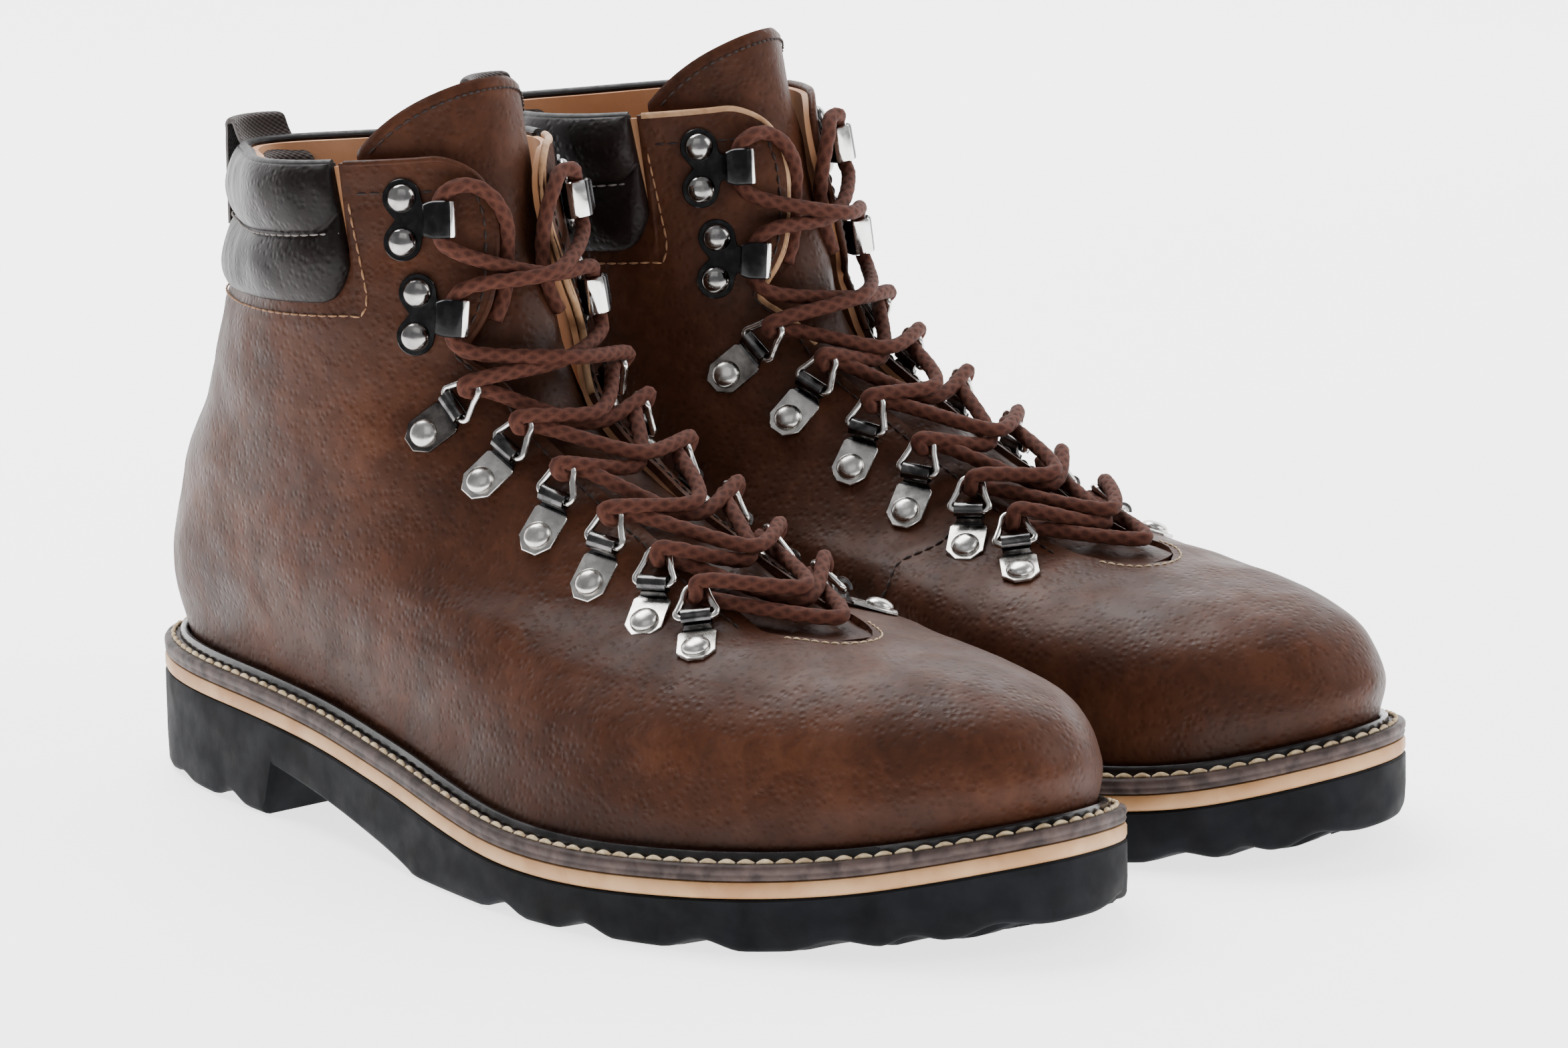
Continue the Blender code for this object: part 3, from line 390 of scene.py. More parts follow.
def surface_frame(v_in, u_in, v_out, u_out, lateral):
    sign = 1 if lateral else -1
    tip = ring_point(v_in, sign * angle_at(v_in, u_in))
    foot = ring_point(v_out, sign * angle_at(v_out, u_out))
    v_mid, phi_mid = (v_in + v_out) / 2, sign * (angle_at(v_in, u_in) + angle_at(v_out, u_out)) / 2
    normal = shell(v_mid, phi_mid, -1.0) - shell(v_mid, phi_mid, 0.0)
    out = foot - tip
    out = unit(out - normal * out.dot(normal))
    along = np.cross(normal, out)
    along *= np.sign(along[2])
    return {"origin": tip, "along": along, "out": out, "normal": normal}


def at(f, along=0.0, out=0.0, high=0.0):
    """Points given in a fitting's own axes, to boot-local mm."""
    along, out, high = (np.asarray(x, float)[..., None] for x in (along, out, high))
    return f["origin"] + f["along"] * along + f["out"] * out + f["normal"] * high


def ring_frame(i, lateral):
    return surface_frame(TUBE_V[i], TUBE_U[i], RIVET_V[i], RIVET_U[i], lateral)


def hook_frame(i, lateral):
    return surface_frame(HOOK_V[i], HOOK_U[i], HOOK_V[i], HOOK_RIVET_U[i], lateral)


# ---- materials

def tint(hex_code):
    """sRGB hex to linear RGBA."""
    parts = [int(hex_code[i:i + 2], 16) / 255 for i in (0, 2, 4)]
    return [c / 12.92 if c < .04045 else ((c + .055) / 1.055) ** 2.4 for c in parts] + [1]


class Shade:
    """Small helper that wires nodes by name."""

    def __init__(self, name):
        self.mat = bpy.data.materials.new(name)
        self.mat.use_nodes = True
        self.tree = self.mat.node_tree
        self.bsdf = self.tree.nodes["Principled BSDF"]
        coord = self.tree.nodes.new("ShaderNodeTexCoord")
        self.coord = coord.outputs["Object"]

    def node(self, kind, **values):
        n = self.tree.nodes.new("ShaderNode" + kind)
        for key, value in values.items():
            if hasattr(n, key):
                setattr(n, key, value)
            else:
                self.put(n.inputs[key.replace("_", " ")], value)
        return n

    def put(self, socket, value):
        if isinstance(value, bpy.types.NodeSocket):
            self.tree.links.new(value, socket)
        else:
            socket.default_value = value

    def noise(self, size_mm, detail=3, distort=0.0):
        return self.node("TexNoise", Scale=1000 / size_mm, Detail=detail, Distortion=distort,
                         Vector=self.coord).outputs["Fac"]

    def cells(self, size_mm):
        n = self.node("TexVoronoi", feature="F1", Scale=1000 / size_mm, Vector=self.coord)
        return n.outputs["Distance"]

    def ramp(self, fac, stops):
        n = self.node("ValToRGB", Fac=fac)
        els = n.color_ramp.elements
        while len(els) < len(stops):
            els.new(.5)
        for e, (pos, col) in zip(els, stops):
            e.position = pos
            e.color = col if isinstance(col, list) else [col, col, col, 1]
        return n.outputs["Color"]

    def mix(self, fac, a, b, kind="MIX"):
        n = self.node("Mix", data_type="RGBA", blend_type=kind)
        self.put(n.inputs[0], fac)
        self.put(n.inputs[6], a)
        self.put(n.inputs[7], b)
        return n.outputs[2]

    def math(self, kind, a, b=0.0):
        n = self.node("Math", operation=kind)
        self.put(n.inputs[0], a)
        self.put(n.inputs[1], b)
        return n.outputs[0]

    def weigh(self, a, b, share):
        return self.math("ADD", self.math("MULTIPLY", a, share), self.math("MULTIPLY", b, 1 - share))

    def attribute(self, name):
        return self.node("Attribute", attribute_name=name).outputs["Fac"]

    def bump(self, height, strength, distance_mm, chain=None):
        n = self.node("Bump", Strength=strength, Distance=distance_mm * MM, Height=height)
        if chain is not None:
            self.put(n.inputs["Normal"], chain)
        return n.outputs["Normal"]

    def finish(self, **inputs):
        for key, value in inputs.items():
            self.put(self.bsdf.inputs[key.replace("_", " ")], value)
        return self.mat


def leather(name, dark, mid, light, rough=(.44, .58), coat=.02, shine=.12):
    """Oiled leather: a mottled tone, fine pebble grain, pull-up streaks and dusty pores."""
    m = Shade(name)
    cloud = m.weigh(m.noise(30, 5, .5), m.noise(6, 5, 1.0), .6)
    base = m.ramp(cloud, [(.3, tint(dark)), (.5, tint(mid)), (.7, tint(light))])
    pebble = m.cells(1.9)
    fine = m.cells(.8)
    base = m.mix(.35, base, m.ramp(pebble, [(.05, .62), (.45, 1.0)]), "MULTIPLY")
    dust = m.ramp(m.noise(2.2, 5, .6), [(.58, .0), (.72, .14)])
    base = m.mix(dust, base, tint(light))
    # Painted shade: the 'shade' attribute pulls the leather towards its dark tone.
    base = m.mix(m.attribute("shade"), base, tint(dark))
    rub = m.ramp(m.noise(14, 5, .5), [(.38, rough[0]), (.65, rough[1])])
    n = m.bump(m.ramp(pebble, [(.0, .0), (.5, 1.0)]), .5, .3)
    n = m.bump(m.ramp(fine, [(.0, .0), (.45, 1.0)]), .2, .08, n)
    n = m.bump(m.noise(3.4, 4, .8), .3, .3, n)
    n = m.bump(m.noise(14, 3, .4), .22, .9, n)
    return m.finish(Base_Color=base, Roughness=rub, Normal=n, Coat_Weight=coat, Coat_Roughness=.3,
                    Specular_IOR_Level=shine)


def plain(name, dark, light, rough=.5, metal=0.0, size=6, bump_mm=.1, strength=.3, grain=.8, shine=.5):
    m = Shade(name)
    base = m.ramp(m.noise(size, 5, .4), [(.35, tint(dark)), (.68, tint(light))])
    rub = m.ramp(m.noise(size * .6, 4), [(.3, max(rough - .08, .03)), (.7, rough + .1)])
    n = m.bump(m.noise(grain, 3), strength, bump_mm)
    return m.finish(Base_Color=base, Roughness=rub, Metallic=metal, Normal=n, Specular_IOR_Level=shine)


def woven(name, dark, light, pitch_mm=1.3):
    """Ribbed tape: rows of small stitches across the strap."""
    m = Shade(name)
    split = m.node("SeparateXYZ", Vector=m.node("UVMap").outputs["UV"])
    warp, weft = (m.math("SINE", m.math("MULTIPLY", split.outputs[k], 2 * math.pi / pitch_mm))
                  for k in (0, 1))
    weave = m.math("MULTIPLY", warp, weft)
    high = m.math("ADD", m.math("MULTIPLY", weave, .5), .5)
    fuzz = m.noise(.5, 4)
    base = m.ramp(m.weigh(high, fuzz, .6), [(.2, tint(dark)), (.8, tint(light))])
    n = m.bump(fuzz, .3, .15, m.bump(high, .7, .3))
    return m.finish(Base_Color=base, Roughness=.85, Normal=n, Sheen_Weight=.25)


METAL = {"metal": 1.0, "size": 4, "bump_mm": .02, "strength": .1}
THREAD = {"size": 2, "bump_mm": .08, "strength": .5, "grain": .3}
BROWN = leather("brown_leather", "2a160d", "3d2114", "4f2e1e")
BROWN_EDGE = leather("leather_edge", "6b4a36", "a5805f", "c6a485", (.55, .7))
PAD = leather("collar_leather", "0a0606", "150d0c", "231716", (.4, .52), .03, .14)
TAN = plain("tan_lining", "b07a52", "d6a27a", .7, 0, 30, .2, .35, 2.2)
SOLE = plain("black_rubber", "08090b", "121317", .75, 0, 12, .1, .35, .7, .12)
MIDSOLE = plain("tan_midsole", "9c7046", "bd9468", .6, 0, 14, .12, .3, 1.2)
WELT = plain("welt_rubber", "281e1c", "4e3f3b", .6, 0, 5, .15, .35, 1.0, .25)
RIM = plain("storm_rim", "0b0a0b", "1c1718", .26, 0, 8, .06, .2, 1.5)
NICKEL = plain("nickel_plate", "b3b1ad", "d6d3ce", .24, **METAL)
# Darker copy of the nickel for the first ring's plate only: painted shade on that plate.
PLATE_PAINTED_SHADE = plain("plate_nickel_painted_shade", "4b4745", "7d7874", .24, **METAL)
STEEL = plain("dome_steel", "838180", "aeaba8", .16, **METAL)
# Darker metal for the ring mounts' bent tubes: painted shade and dark reflection on the plate's own nickel.
TUBE_PAINTED_SHADE = plain("tube_nickel_painted_shade", "3c3b3c", "6d6b6a", .2, **METAL)
# Bright chrome only for a strip along the hooks' outer bend: a painted highlight on black metal.
BEND_PAINTED_HIGHLIGHT = plain("hook_bend_painted_highlight", "dddbd7", "f2f1ee", .13, 1.0, 4, .01, .1, .8)
WIRE = plain("ring_wire", "b5b2ae", "e6e4e0", .18, grain=.7, **METAL)
BLACK_METAL = plain("black_hook", "060607", "141416", .2, .5, 4, .02, .1, .8)
CREAM = plain("cream_thread", "a98f6c", "ddc9a4", .75, **THREAD)
TAN_THREAD = plain("tan_thread", "6b4930", "9c7350", .75, **THREAD)
GREY_THREAD = plain("grey_thread", "57504d", "7f7874", .75, **THREAD)
DARK_THREAD = plain("dark_thread", "140906", "2c180f", .7, **THREAD)
BINDING = plain("black_binding", "0a0809", "1d1819", .6, 0, 3, .1, .5, .6)
TAPE = woven("loop_webbing", "0f0a09", "3b2c27")


def lace_material():
    m = Shade("lace_cord")
    fuzz = m.noise(.45, 4)
    tone = m.weigh(m.attribute("strand"), fuzz, .6)
    base = m.ramp(tone, [(.1, tint("2a130d")), (.55, tint("43241b")), (.95, tint("5a3529"))])
    return m.finish(Base_Color=base, Roughness=.85, Normal=m.bump(fuzz, .5, .12), Specular_IOR_Level=.2)


LACE = lace_material()


def shade_by_height(obj, tone):
    """Painted shade: darkens the leather as tone says for a height in mm."""
    z = np.array([v.co.z for v in obj.data.vertices]) / MM
    set_attribute(obj, "shade", tone(z))


def set_attribute(obj, name, values):
    attr = obj.data.attributes.new(name, "FLOAT", "POINT")
    attr.data.foreach_set("value", np.asarray(values, np.float32))


# ---- pieces

def ride(obj, name, slot, *nodes, body=None):
    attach(obj, body or name + "_boot")
    if nodes:
        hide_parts(*nodes)


def boot_piece(name, side, part, shape, material, slot, *nodes, sharp=60, mats=None, weld=True, body=None):
    """A visible piece that rides on its boot; shape is boot-local verts and faces."""
    verts, faces = shape
    obj = mesh_object(f"{name}_{part}", world(verts, side), faces, material, sharp, mats, weld)
    ride(obj, name, slot, *nodes, body=body)
    return obj


# ---- the lace

LACE_STEP, LACE_SIDES, PLAITS, PLAIT_PITCH = .62, 20, 8, 4.4


def over_throat(v, u, high):
    sign = 1 if u >= 0 else -1
    return shell(v, sign * angle_at(v, abs(u)), -high)


def ring_turn(i, side):
    """The lace round a ring's apex: in from below, up through the hole and back over the wire."""
    f = ring_frame(i, side > 0)
    lift = math.radians(RING_LIFT_DEG)
    apex = np.array([-RING_REACH * math.cos(lift), TUBE_HIGH + RING_REACH * math.sin(lift)])
    outward = np.array([math.cos(lift), -math.sin(lift)])
    upward = np.array([math.sin(lift), math.cos(lift)])
    points = []
    for turn, along in ((-72, -1.2), (-24, -.3), (24, .2), (74, .8)):
        a = math.radians(turn)
        out, high = apex + TURN_RADIUS * (math.cos(a) * outward + math.sin(a) * upward)
        points.append(at(f, along, out, high))
    return points


def hook_turn(i, side):
    f = hook_frame(i, side > 0)
    high = CAD_LIFT + PLATE_THICK + HOOK_GULLET / 2
    half = HOOK_WIDE / 2
    route = ((-half - 3, -2.8), (-half - .4, .3), (half + .4, .3), (half + 3, -2.8))
    return [at(f, along, out, high) for along, out in route]


def half_lace(side, high):
    points = []
    for i in (5, 4, 3, 2, 1, 0):
        points += ring_turn(i, side)
        next_v = TUBE_V[i - 1] if i else HOOK_V[1]
        points.append(over_throat((TUBE_V[i] + next_v) / 2 + .06, 0, high))
        side = -side
    points += hook_turn(1, side)
    points.append(over_throat(sum(HOOK_V) / 2 - .05, 0, high))
    side = -side
    points += hook_turn(0, side)
    points += [over_throat(9.78, side * 12.0, 2.9), over_throat(9.7, side * 8.6, 2.4),
               over_throat(9.55, side * 6.0, .6), over_throat(9.35, side * 6.2, -2.4),
               over_throat(9.1, side * 8.5, -3.9), over_throat(8.9, side * 12.0, -3.9)]
    return points


def lace_route():
    bar = [over_throat(TUBE_V[5] - .02, 0, BAR_HIGH)]
    return half_lace(-1, CROSS_UNDER)[::-1] + bar + half_lace(1, CROSS_OVER)


def make_lace(name, side):
    route = resample(lace_route(), LACE_STEP)

    def braid(i, ang):
        turn = 2 * math.pi * i * LACE_STEP / PLAIT_PITCH
        return .955 + .075 * np.maximum(np.sin(PLAITS / 2 * ang + turn), np.sin(PLAITS / 2 * ang - turn))

    cord = tube(route, LACE_RADIUS, LACE_SIDES, False, braid)
    obj = boot_piece(name, side, "lace_cord", cord, LACE, "lace_cord", name + "_lace", sharp=0, weld=False)
    i = np.arange(len(route))[:, None]
    tone = (braid(i, np.linspace(0, 2 * math.pi, LACE_SIDES, endpoint=False)) - .88) / .15
    set_attribute(obj, "strand", tone.reshape(-1))


# ---- leather upper

GAP_V = [4.36, 4.42, 4.52, 4.7, 4.95, 5.5, 6.5, 7.5, 8.1, 8.36, 8.5, 8.58, 8.68, 8.85, 9.0, 9.2,
         9.4, 9.61, 9.72, 9.8, 9.87, 9.92, 9.96, 9.985, 10]
GAP_S = [.0005, .012, .026, .038, .034, .030, .029, .030, .032, .050, .086, .100, .088, .062, .043,
         .027, .018, .014, .016, .021, .030, .041, .057, .076, .105]


def collar_v(s):
    """The collar's lower edge at s, from its front to the back seam."""
    return COLLAR_V_SIDE + (COLLAR_V_BACK - COLLAR_V_SIDE) * np.clip((s - COLLAR_S) / (1 - COLLAR_S), 0, 1)


def collar_low(phi):
    corner = np.clip(1 - (np.abs(wrap(phi)) - COLLAR_PHI) / .22, 0, 1)
    return collar_v((1 - np.cos(phi)) / 2) + .32 * corner ** 2.5


def edge_angle(v):
    return phi_of(np.interp(v, GAP_V, GAP_S)) if v >= GAP_V[0] else 0.0


def leather_relief(p):
    """Soft undulation of the leather, in mm outward."""
    flex = np.exp(-((p[..., 1] + 62) / 30) ** 2) * np.clip((p[..., 2] - 20) / 30, 0, 1)
    crease = np.sin((p[..., 1] + .35 * p[..., 0]) / 3.4) * flex * .22
    return .5 * wobble(p, 46, 3) + .16 * wobble(p, 15, 5) + .05 * wobble(p, 6, 8) + crease


def both_sides(front, back):
    """Angles all round a ring, from those of its lateral half."""
    half = np.concatenate([front, back])
    return np.concatenate([half, 2 * math.pi - half[-2::-1]])


def make_upper(name, side):
    low = np.concatenate([np.linspace(0, 4.33, 74), [GAP_V[0]]])
    high = np.concatenate([np.linspace(4.38, 8.3, 70), np.linspace(8.34, 9.9, 60), np.linspace(9.91, 10, 12)])
    outer, inner = [], []
    for v in np.concatenate([low, high]):
        start = edge_angle(v)
        front = start + (COLLAR_PHI - .035 - start) * np.linspace(0, 1, 46) ** 1.15
        phi = wrap(both_sides(front, np.linspace(COLLAR_PHI + .006, math.pi, 64)))
        behind = np.abs(phi) > COLLAR_PHI
        under = 8.0 + (collar_low(phi) + .05 - 8.0) * (v - 8) / 2
        level = np.where(behind & (v > 8), under, v)
        lift = leather_relief(shell(level, phi))
        tuck = np.where(behind & (level > 8), np.clip((level - collar_low(phi) + .25) / .3, 0, 1), 0)
        outer.append(shell(level, phi, -lift + tuck * .9))
        inner.append(shell(level, phi, -lift + UPPER_THICK))
    shape = thick_grid(outer, inner, len(low) - 1)
    obj = boot_piece(name, side, "leather_upper", shape, BROWN, "brown_leather", name + "_upper", sharp=55)
    # Painted shade, darker towards the bottom of the upper where it meets the welt.
    shade_by_height(obj, lambda z: np.clip(.45 - (z - 22) / 45, 0, .4))


def surface_line(keys, side_sign, step, lift):
    """Evenly spaced boot-local points along a line given as (v, s) keys on one side."""
    keys = np.asarray(keys, float)
    knots = np.arange(len(keys))
    fine = np.linspace(0, len(keys) - 1, 60 * len(keys))
    v, s = smooth(knots, keys[:, 0], fine), np.clip(smooth(knots, keys[:, 1], fine), 0, 1)
    phi = phi_of(s, side_sign)
    p = ring_point(v, phi)
    length = arc_length(p)
    read = np.linspace(0, length[-1], max(int(length[-1] / step), 2) + 1)
    v, phi = np.interp(read, length, v), np.interp(read, length, phi)
    p = ring_point(v, phi)
    return shell(v, phi, -leather_relief(p) - lift), shell(v, phi, -1.0) - shell(v, phi, 0.0)


def stitch(pile, a, b, normal, radius):
    """One thread stitch: a short rounded bead from a to b, arched off the surface."""
    t = np.linspace(0, 1, 7)
    line = a + (b - a) * t[:, None] + normal * (np.sin(t * math.pi) * radius * .7)[:, None]
    pile.add(*tube(line, radius * np.sin(np.clip(t, .08, .92) * math.pi)[:, None] ** .5, 8))


def stitches(pile, line, normals, radius, first=.1, last=.9):
    """A stitch on each span of the line, over the given part of it."""
    for a, b, normal in zip(line[:-1], line[1:], normals):
        stitch(pile, a + (b - a) * first, a + (b - a) * last, normal, radius)


def stitch_row(pile, keys, side_sign, pitch, radius, lift=.0):
    stitches(pile, *surface_line(keys, side_sign, pitch, lift), radius)


def facing_keys(offset_s, top, start=4.7):
    """Keys of a stitch line that follows the throat's edge at offset_s."""
    notch = [8.32, 8.47, 8.6, 8.72, 8.85, 9.0, 9.2, 9.4, 9.6, 9.8, top]
    return [(v, np.interp(v, GAP_V, GAP_S) + offset_s * (1.25 if v < 8.2 else 1))
            for v in np.concatenate([np.linspace(start, 8.15, 14), notch])]


def make_seams(name, side):
    dark, tan, cream = Pile(), Pile(), Pile()
    for sign in (1, -1):
        stitch_row(dark, facing_keys(.015, 9.72), sign, 2.9, .3)
        top = [(9.76, s) for s in np.linspace(.035, COLLAR_S - .04, 8)]
        front = [(v, COLLAR_S - .022) for v in np.linspace(9.7, 9.05, 5)]
        under = [(collar_v(s) - .14, s) for s in COLLAR_S + (1 - COLLAR_S) * np.linspace(.03, 1, 12)]
        stitch_row(dark, top, sign, 2.9, .28)
        stitch_row(tan, front + [(8.86, COLLAR_S - .006)] + under, sign, 3.1, .3)
        stitch_row(cream, [(4.3, 0), (4.31, .008), (4.36, .02), (4.5, .034)], sign, 2.2, .24)
    medial = [(5.7, .074), (5.0, .145), (4.2, .249), (3.2, .32), (2.38, .376), (1.2, .43), (.3, .45)]
    stitch_row(dark, medial, -1, 2.9, .32)
    rows = ((dark, "seam", DARK_THREAD), (tan, "collar", TAN_THREAD), (cream, "throat", CREAM))
    for pile, part, material in rows:
        ride(pile.build(f"{name}_{part}_threads", side, material), name, "lace_cord")


FOLD_V = (9.985, 9.95, 9.88, 9.78, 9.6, 9.4, 9.1, 8.9, 8.72, 8.6, 8.52, 8.42, 8.3, 8.1)


def make_flap_folds(name, side):
    """The folded leather edge round each top flap: over the top, down the front, into the notch."""
    for sign, look, part in ((1, BROWN, "lateral"), (-1, BROWN_EDGE, "medial")):
        keys = [(9.985, s) for s in np.linspace(COLLAR_S - .025, .115, 8)]
        keys += [(v, np.interp(v, GAP_V, GAP_S) + .003) for v in FOLD_V]
        fold = tube(surface_line(keys, sign, 1.2, -.8)[0], .95, 12)
        boot_piece(name, side, part + "_flap_fold", fold, look, "brown_leather")


# ---- collar, lining, tongue, loop

def make_collar(name, side):
    start = COLLAR_PHI + .01
    cols, rows = 240, 64
    phi = np.linspace(start, 2 * math.pi - start, cols)
    low = collar_low(phi) - .02
    end = np.minimum(phi - start, 2 * math.pi - start - phi) / .07
    end = np.sqrt(np.clip(1 - (1 - np.clip(end, 0, 1)) ** 2, 0, 1))
    outer, inner = [], []
    for q in np.linspace(0, 1, rows):
        v = low + (10 - low) * q
        half = (q / .5) if q < .5 else ((q - .5) / .5)
        puff = np.sin(math.pi * np.clip(half, .012, .988)) ** .62
        base = 3.1 * puff * (1.0 if q >= .5 else .94)
        p = shell(v, wrap(phi))
        ripple = .32 * wobble(p, 17, 21) + .14 * wobble(p * [1, 1, .45], 7, 22)
        outer.append(shell(v, wrap(phi), -(base * (.25 + .75 * end) + ripple * puff * end) + .6 * (1 - end)))
        inner.append(shell(v, wrap(phi), 3.0))
    shape = thick_grid(outer, inner)
    obj = boot_piece(name, side, "padded_collar", shape, PAD, "collar_leather", name + "_collar")
    pile = Pile()
    for sign in (1, -1):
        keys = [((collar_v(s) + 10) / 2 - .01, s) for s in np.linspace(COLLAR_S + .006, 1, 12)]
        stitch_row(pile, keys, sign, 2.8, .3, .95)
    ride(pile.build(name + "_groove_threads", side, GREY_THREAD), name, "lace_cord")


def make_lining(name, side):
    """Tan lining, over the pad's inner side up to the black top binding."""
    spans = ((3.0, 4.33, 10), (4.4, 9.0, 40), (9.05, 9.97, 26))
    rows = np.concatenate([np.linspace(*span) for span in spans])
    outer, inner = [], []
    for v in rows:
        start = edge_angle(v) + (.012 if v >= GAP_V[0] else 0)
        phi = both_sides(np.linspace(start, COLLAR_PHI, 30), np.linspace(COLLAR_PHI + .03, math.pi, 60))
        pad = np.clip((np.minimum(phi, 2 * math.pi - phi) - COLLAR_PHI) / .12, 0, 1)
        behind = np.clip((v - 8.2) / .5, 0, 1) * pad
        phi = wrap(phi)
        p = shell(v, phi)
        puff = .9 * wobble(p * [1, 1, .6], 22, 31) + .4 * wobble(p, 9, 32)
        depth = UPPER_THICK + .15 + 2.6 * behind * (1 - .55 * np.clip((v - 9.5) / .5, 0, 1) ** 2)
        outer.append(shell(v, phi, depth))
        inner.append(shell(v, phi, depth + LINING_THICK + .5 + puff * .5 * behind))
    shape = thick_grid(outer, inner)
    boot_piece(name, side, "tan_lining", shape, TAN, "tan_lining", name + "_lining")


def make_binding(name, side):
    """Black binding along the collar's top."""
    start = COLLAR_PHI + .015
    line = shell(9.985, wrap(np.linspace(start, 2 * math.pi - start, 160)), 1.3)
    boot_piece(name, side, "top_binding", tube(line, 1.35, 12), BINDING, "collar_leather", sharp=50)


TONGUE_V = [4.4, 5.2, 6.4, 7.2, 8, 8.6, 9.3, 10, 11]
TONGUE_S = [.03, .085, .13, .15, .17, .19, .22, .25, .25]


def tongue_top(t):
    return 10.8 - .72 * np.abs(t) ** 2.3


def tongue_point(v, t, depth):
    """Tongue surface: t in -1..1 across, bulging towards the front along its middle."""
    phi = phi_of(np.interp(v, TONGUE_V, TONGUE_S)) * t
    sink = np.interp(v, [4.4, 5, 6.6, 7.8, 8.6, 9.2, 10, 11], [2.2, 2.6, 3.6, 5.5, 7.4, 8.0, 7.6, 7.0])
    arch = np.interp(v, [4.4, 6.5, 8.3, 9.0, 10], [1.6, 2.4, 3.0, 3.0, 2.6]) * (1 - t * t)
    p = shell(v, phi)
    ripple = .5 * wobble(p, 26, 41) + .18 * wobble(p, 9, 42)
    return shell(v, phi, sink - arch + depth - ripple)


def make_tongue(name, side):
    rows, cols = 110, 61
    outer, inner = [], []
    t = np.linspace(-1, 1, cols)
    for q in np.linspace(0, 1, rows):
        v = TONGUE_V[0] + (tongue_top(t) - TONGUE_V[0]) * q
        edge = np.sqrt(np.clip(1 - np.clip((q - .985) / .015, 0, 1) ** 2, 0, 1))
        outer.append(tongue_point(v, t, 1 - edge))
        inner.append(tongue_point(v, t, 1.0 + 1.3 * edge))
    shape = thick_grid(outer, inner)
    obj = boot_piece(name, side, "tongue_leather", shape, BROWN, "brown_leather", name + "_tongue")
    # Painted shade, darker lower down where the tongue sits deep in the throat.
    shade_by_height(obj, lambda z: np.clip((150 - z) / 90, 0, .55))
    pile = Pile()
    t = np.linspace(-.93, .93, 34)
    top = tongue_top(t) - .15
    line = tongue_point(top, t, -.15)
    stitches(pile, line, tongue_point(top, t, -1.15) - line, .3, .1, .85)
    ride(pile.build(name + "_tongue_threads", side, DARK_THREAD), name, "lace_cord")


LOOP_WIDE, LOOP_THICK = 15.6, 1.5
LOOP_WRAP_OUT, LOOP_WRAP_IN = 2.6, 6.0
LOOP_TOP_Z, LOOP_FOOT_Z, LOOP_INNER_FOOT_Z = 164.5, 138.0, 148.0


def make_pull_loop(name, side):
    back, fold = 124.0, 1.9
    out_y, in_y = back + 2.4 + 1.1 + LOOP_THICK, back - 3.2 - LINING_THICK - 2.4 - LOOP_THICK
    turns = np.linspace(.1, math.pi - .25, 9)
    leg = [(out_y, z) for z in np.linspace(LOOP_FOOT_Z, LOOP_TOP_Z - 6, 9)]
    leg += [(out_y - .1, LOOP_TOP_Z - 4), (out_y - .1, LOOP_TOP_Z - 2.6)]
    arc = [(out_y - fold + fold * math.cos(a), LOOP_TOP_Z - fold + fold * math.sin(a)) for a in turns]
    tail = [(out_y - 5.2, LOOP_TOP_Z - 4.5), (out_y - 8.2, LOOP_TOP_Z - 7.5), (in_y + .8, LOOP_TOP_Z - 10)]
    tail += [(in_y, z) for z in np.linspace(LOOP_TOP_Z - 13, LOOP_INNER_FOOT_Z, 4)]
    route = resample_flat(leg + arc + tail, .8)
    share = np.clip((out_y - route[:, 0]) / (out_y - in_y), 0, 1)
    wraps = LOOP_WRAP_OUT + (LOOP_WRAP_IN - LOOP_WRAP_OUT) * share
    t = unit(np.gradient(route, axis=0))
    inward = np.stack([-t[:, 1], t[:, 0]], -1)
    across = np.linspace(LOOP_WIDE / 2, -LOOP_WIDE / 2, 25)
    hem = 1 - .35 * np.clip((np.abs(across) - LOOP_WIDE / 2 + .9) / .9, 0, 1) ** 2
    grids = []
    for depth in (0, LOOP_THICK):
        rows = []
        for p, n, bend in zip(route, inward, wraps):
            d = LOOP_THICK / 2 + (depth - LOOP_THICK / 2) * hem
            rows.append(np.stack([across, p[0] + n[0] * d - bend * (2 * across / LOOP_WIDE) ** 2,
                                  p[1] + n[1] * d], -1))
        grids.append(rows)
    obj = boot_piece(name, side, "loop_tape", thick_grid(*grids), TAPE, "webbing", name + "_pull_loop",
                     weld=False)
    length = arc_length(route)
    flat = np.stack(np.meshgrid(length, across, indexing="ij"), -1).reshape(-1, 2)
    flat = np.concatenate([flat, flat])
    layer = obj.data.uv_layers.new(name="UVMap")
    loops = np.empty(len(obj.data.loops), np.int32)
    obj.data.loops.foreach_get("vertex_index", loops)
    layer.data.foreach_set("uv", flat[loops].astype(np.float32).reshape(-1))


# ---- sole unit

STATIONS = (1 - np.cos(np.linspace(0, math.pi, 260))) / 2


def sole_loop(inset):
    """The sole's outline, moved inward by inset."""
    s = STATIONS
    centre = sole_centre(s)
    ends = np.sqrt(np.clip(1 - np.abs(2 * s - 1) ** 4, 0, 1))
    y = TOE_Y + s * (HEEL_Y - TOE_Y)
    lateral = np.stack([centre + smooth(SOLE_S, SOLE_LATERAL, s) * ends, y], -1)
    medial = np.stack([centre - smooth(SOLE_S, SOLE_MEDIAL, s) * ends, y], -1)
    loop = np.vstack([lateral, medial[-2:0:-1]])
    along = unit(np.roll(loop, -1, 0) - np.roll(loop, 1, 0))
    return loop + inset * np.stack([-along[:, 1], along[:, 0]], -1)


def cap_faces(start, cols):
    """Faces across a sole outline, from its lateral to its medial side."""
    faces = []
    for k in range(cols // 2):
        corners = [start + j for j in (k, k + 1, (cols - k - 1) % cols, (cols - k) % cols)]
        faces.append(tuple(dict.fromkeys(corners)))
    return faces


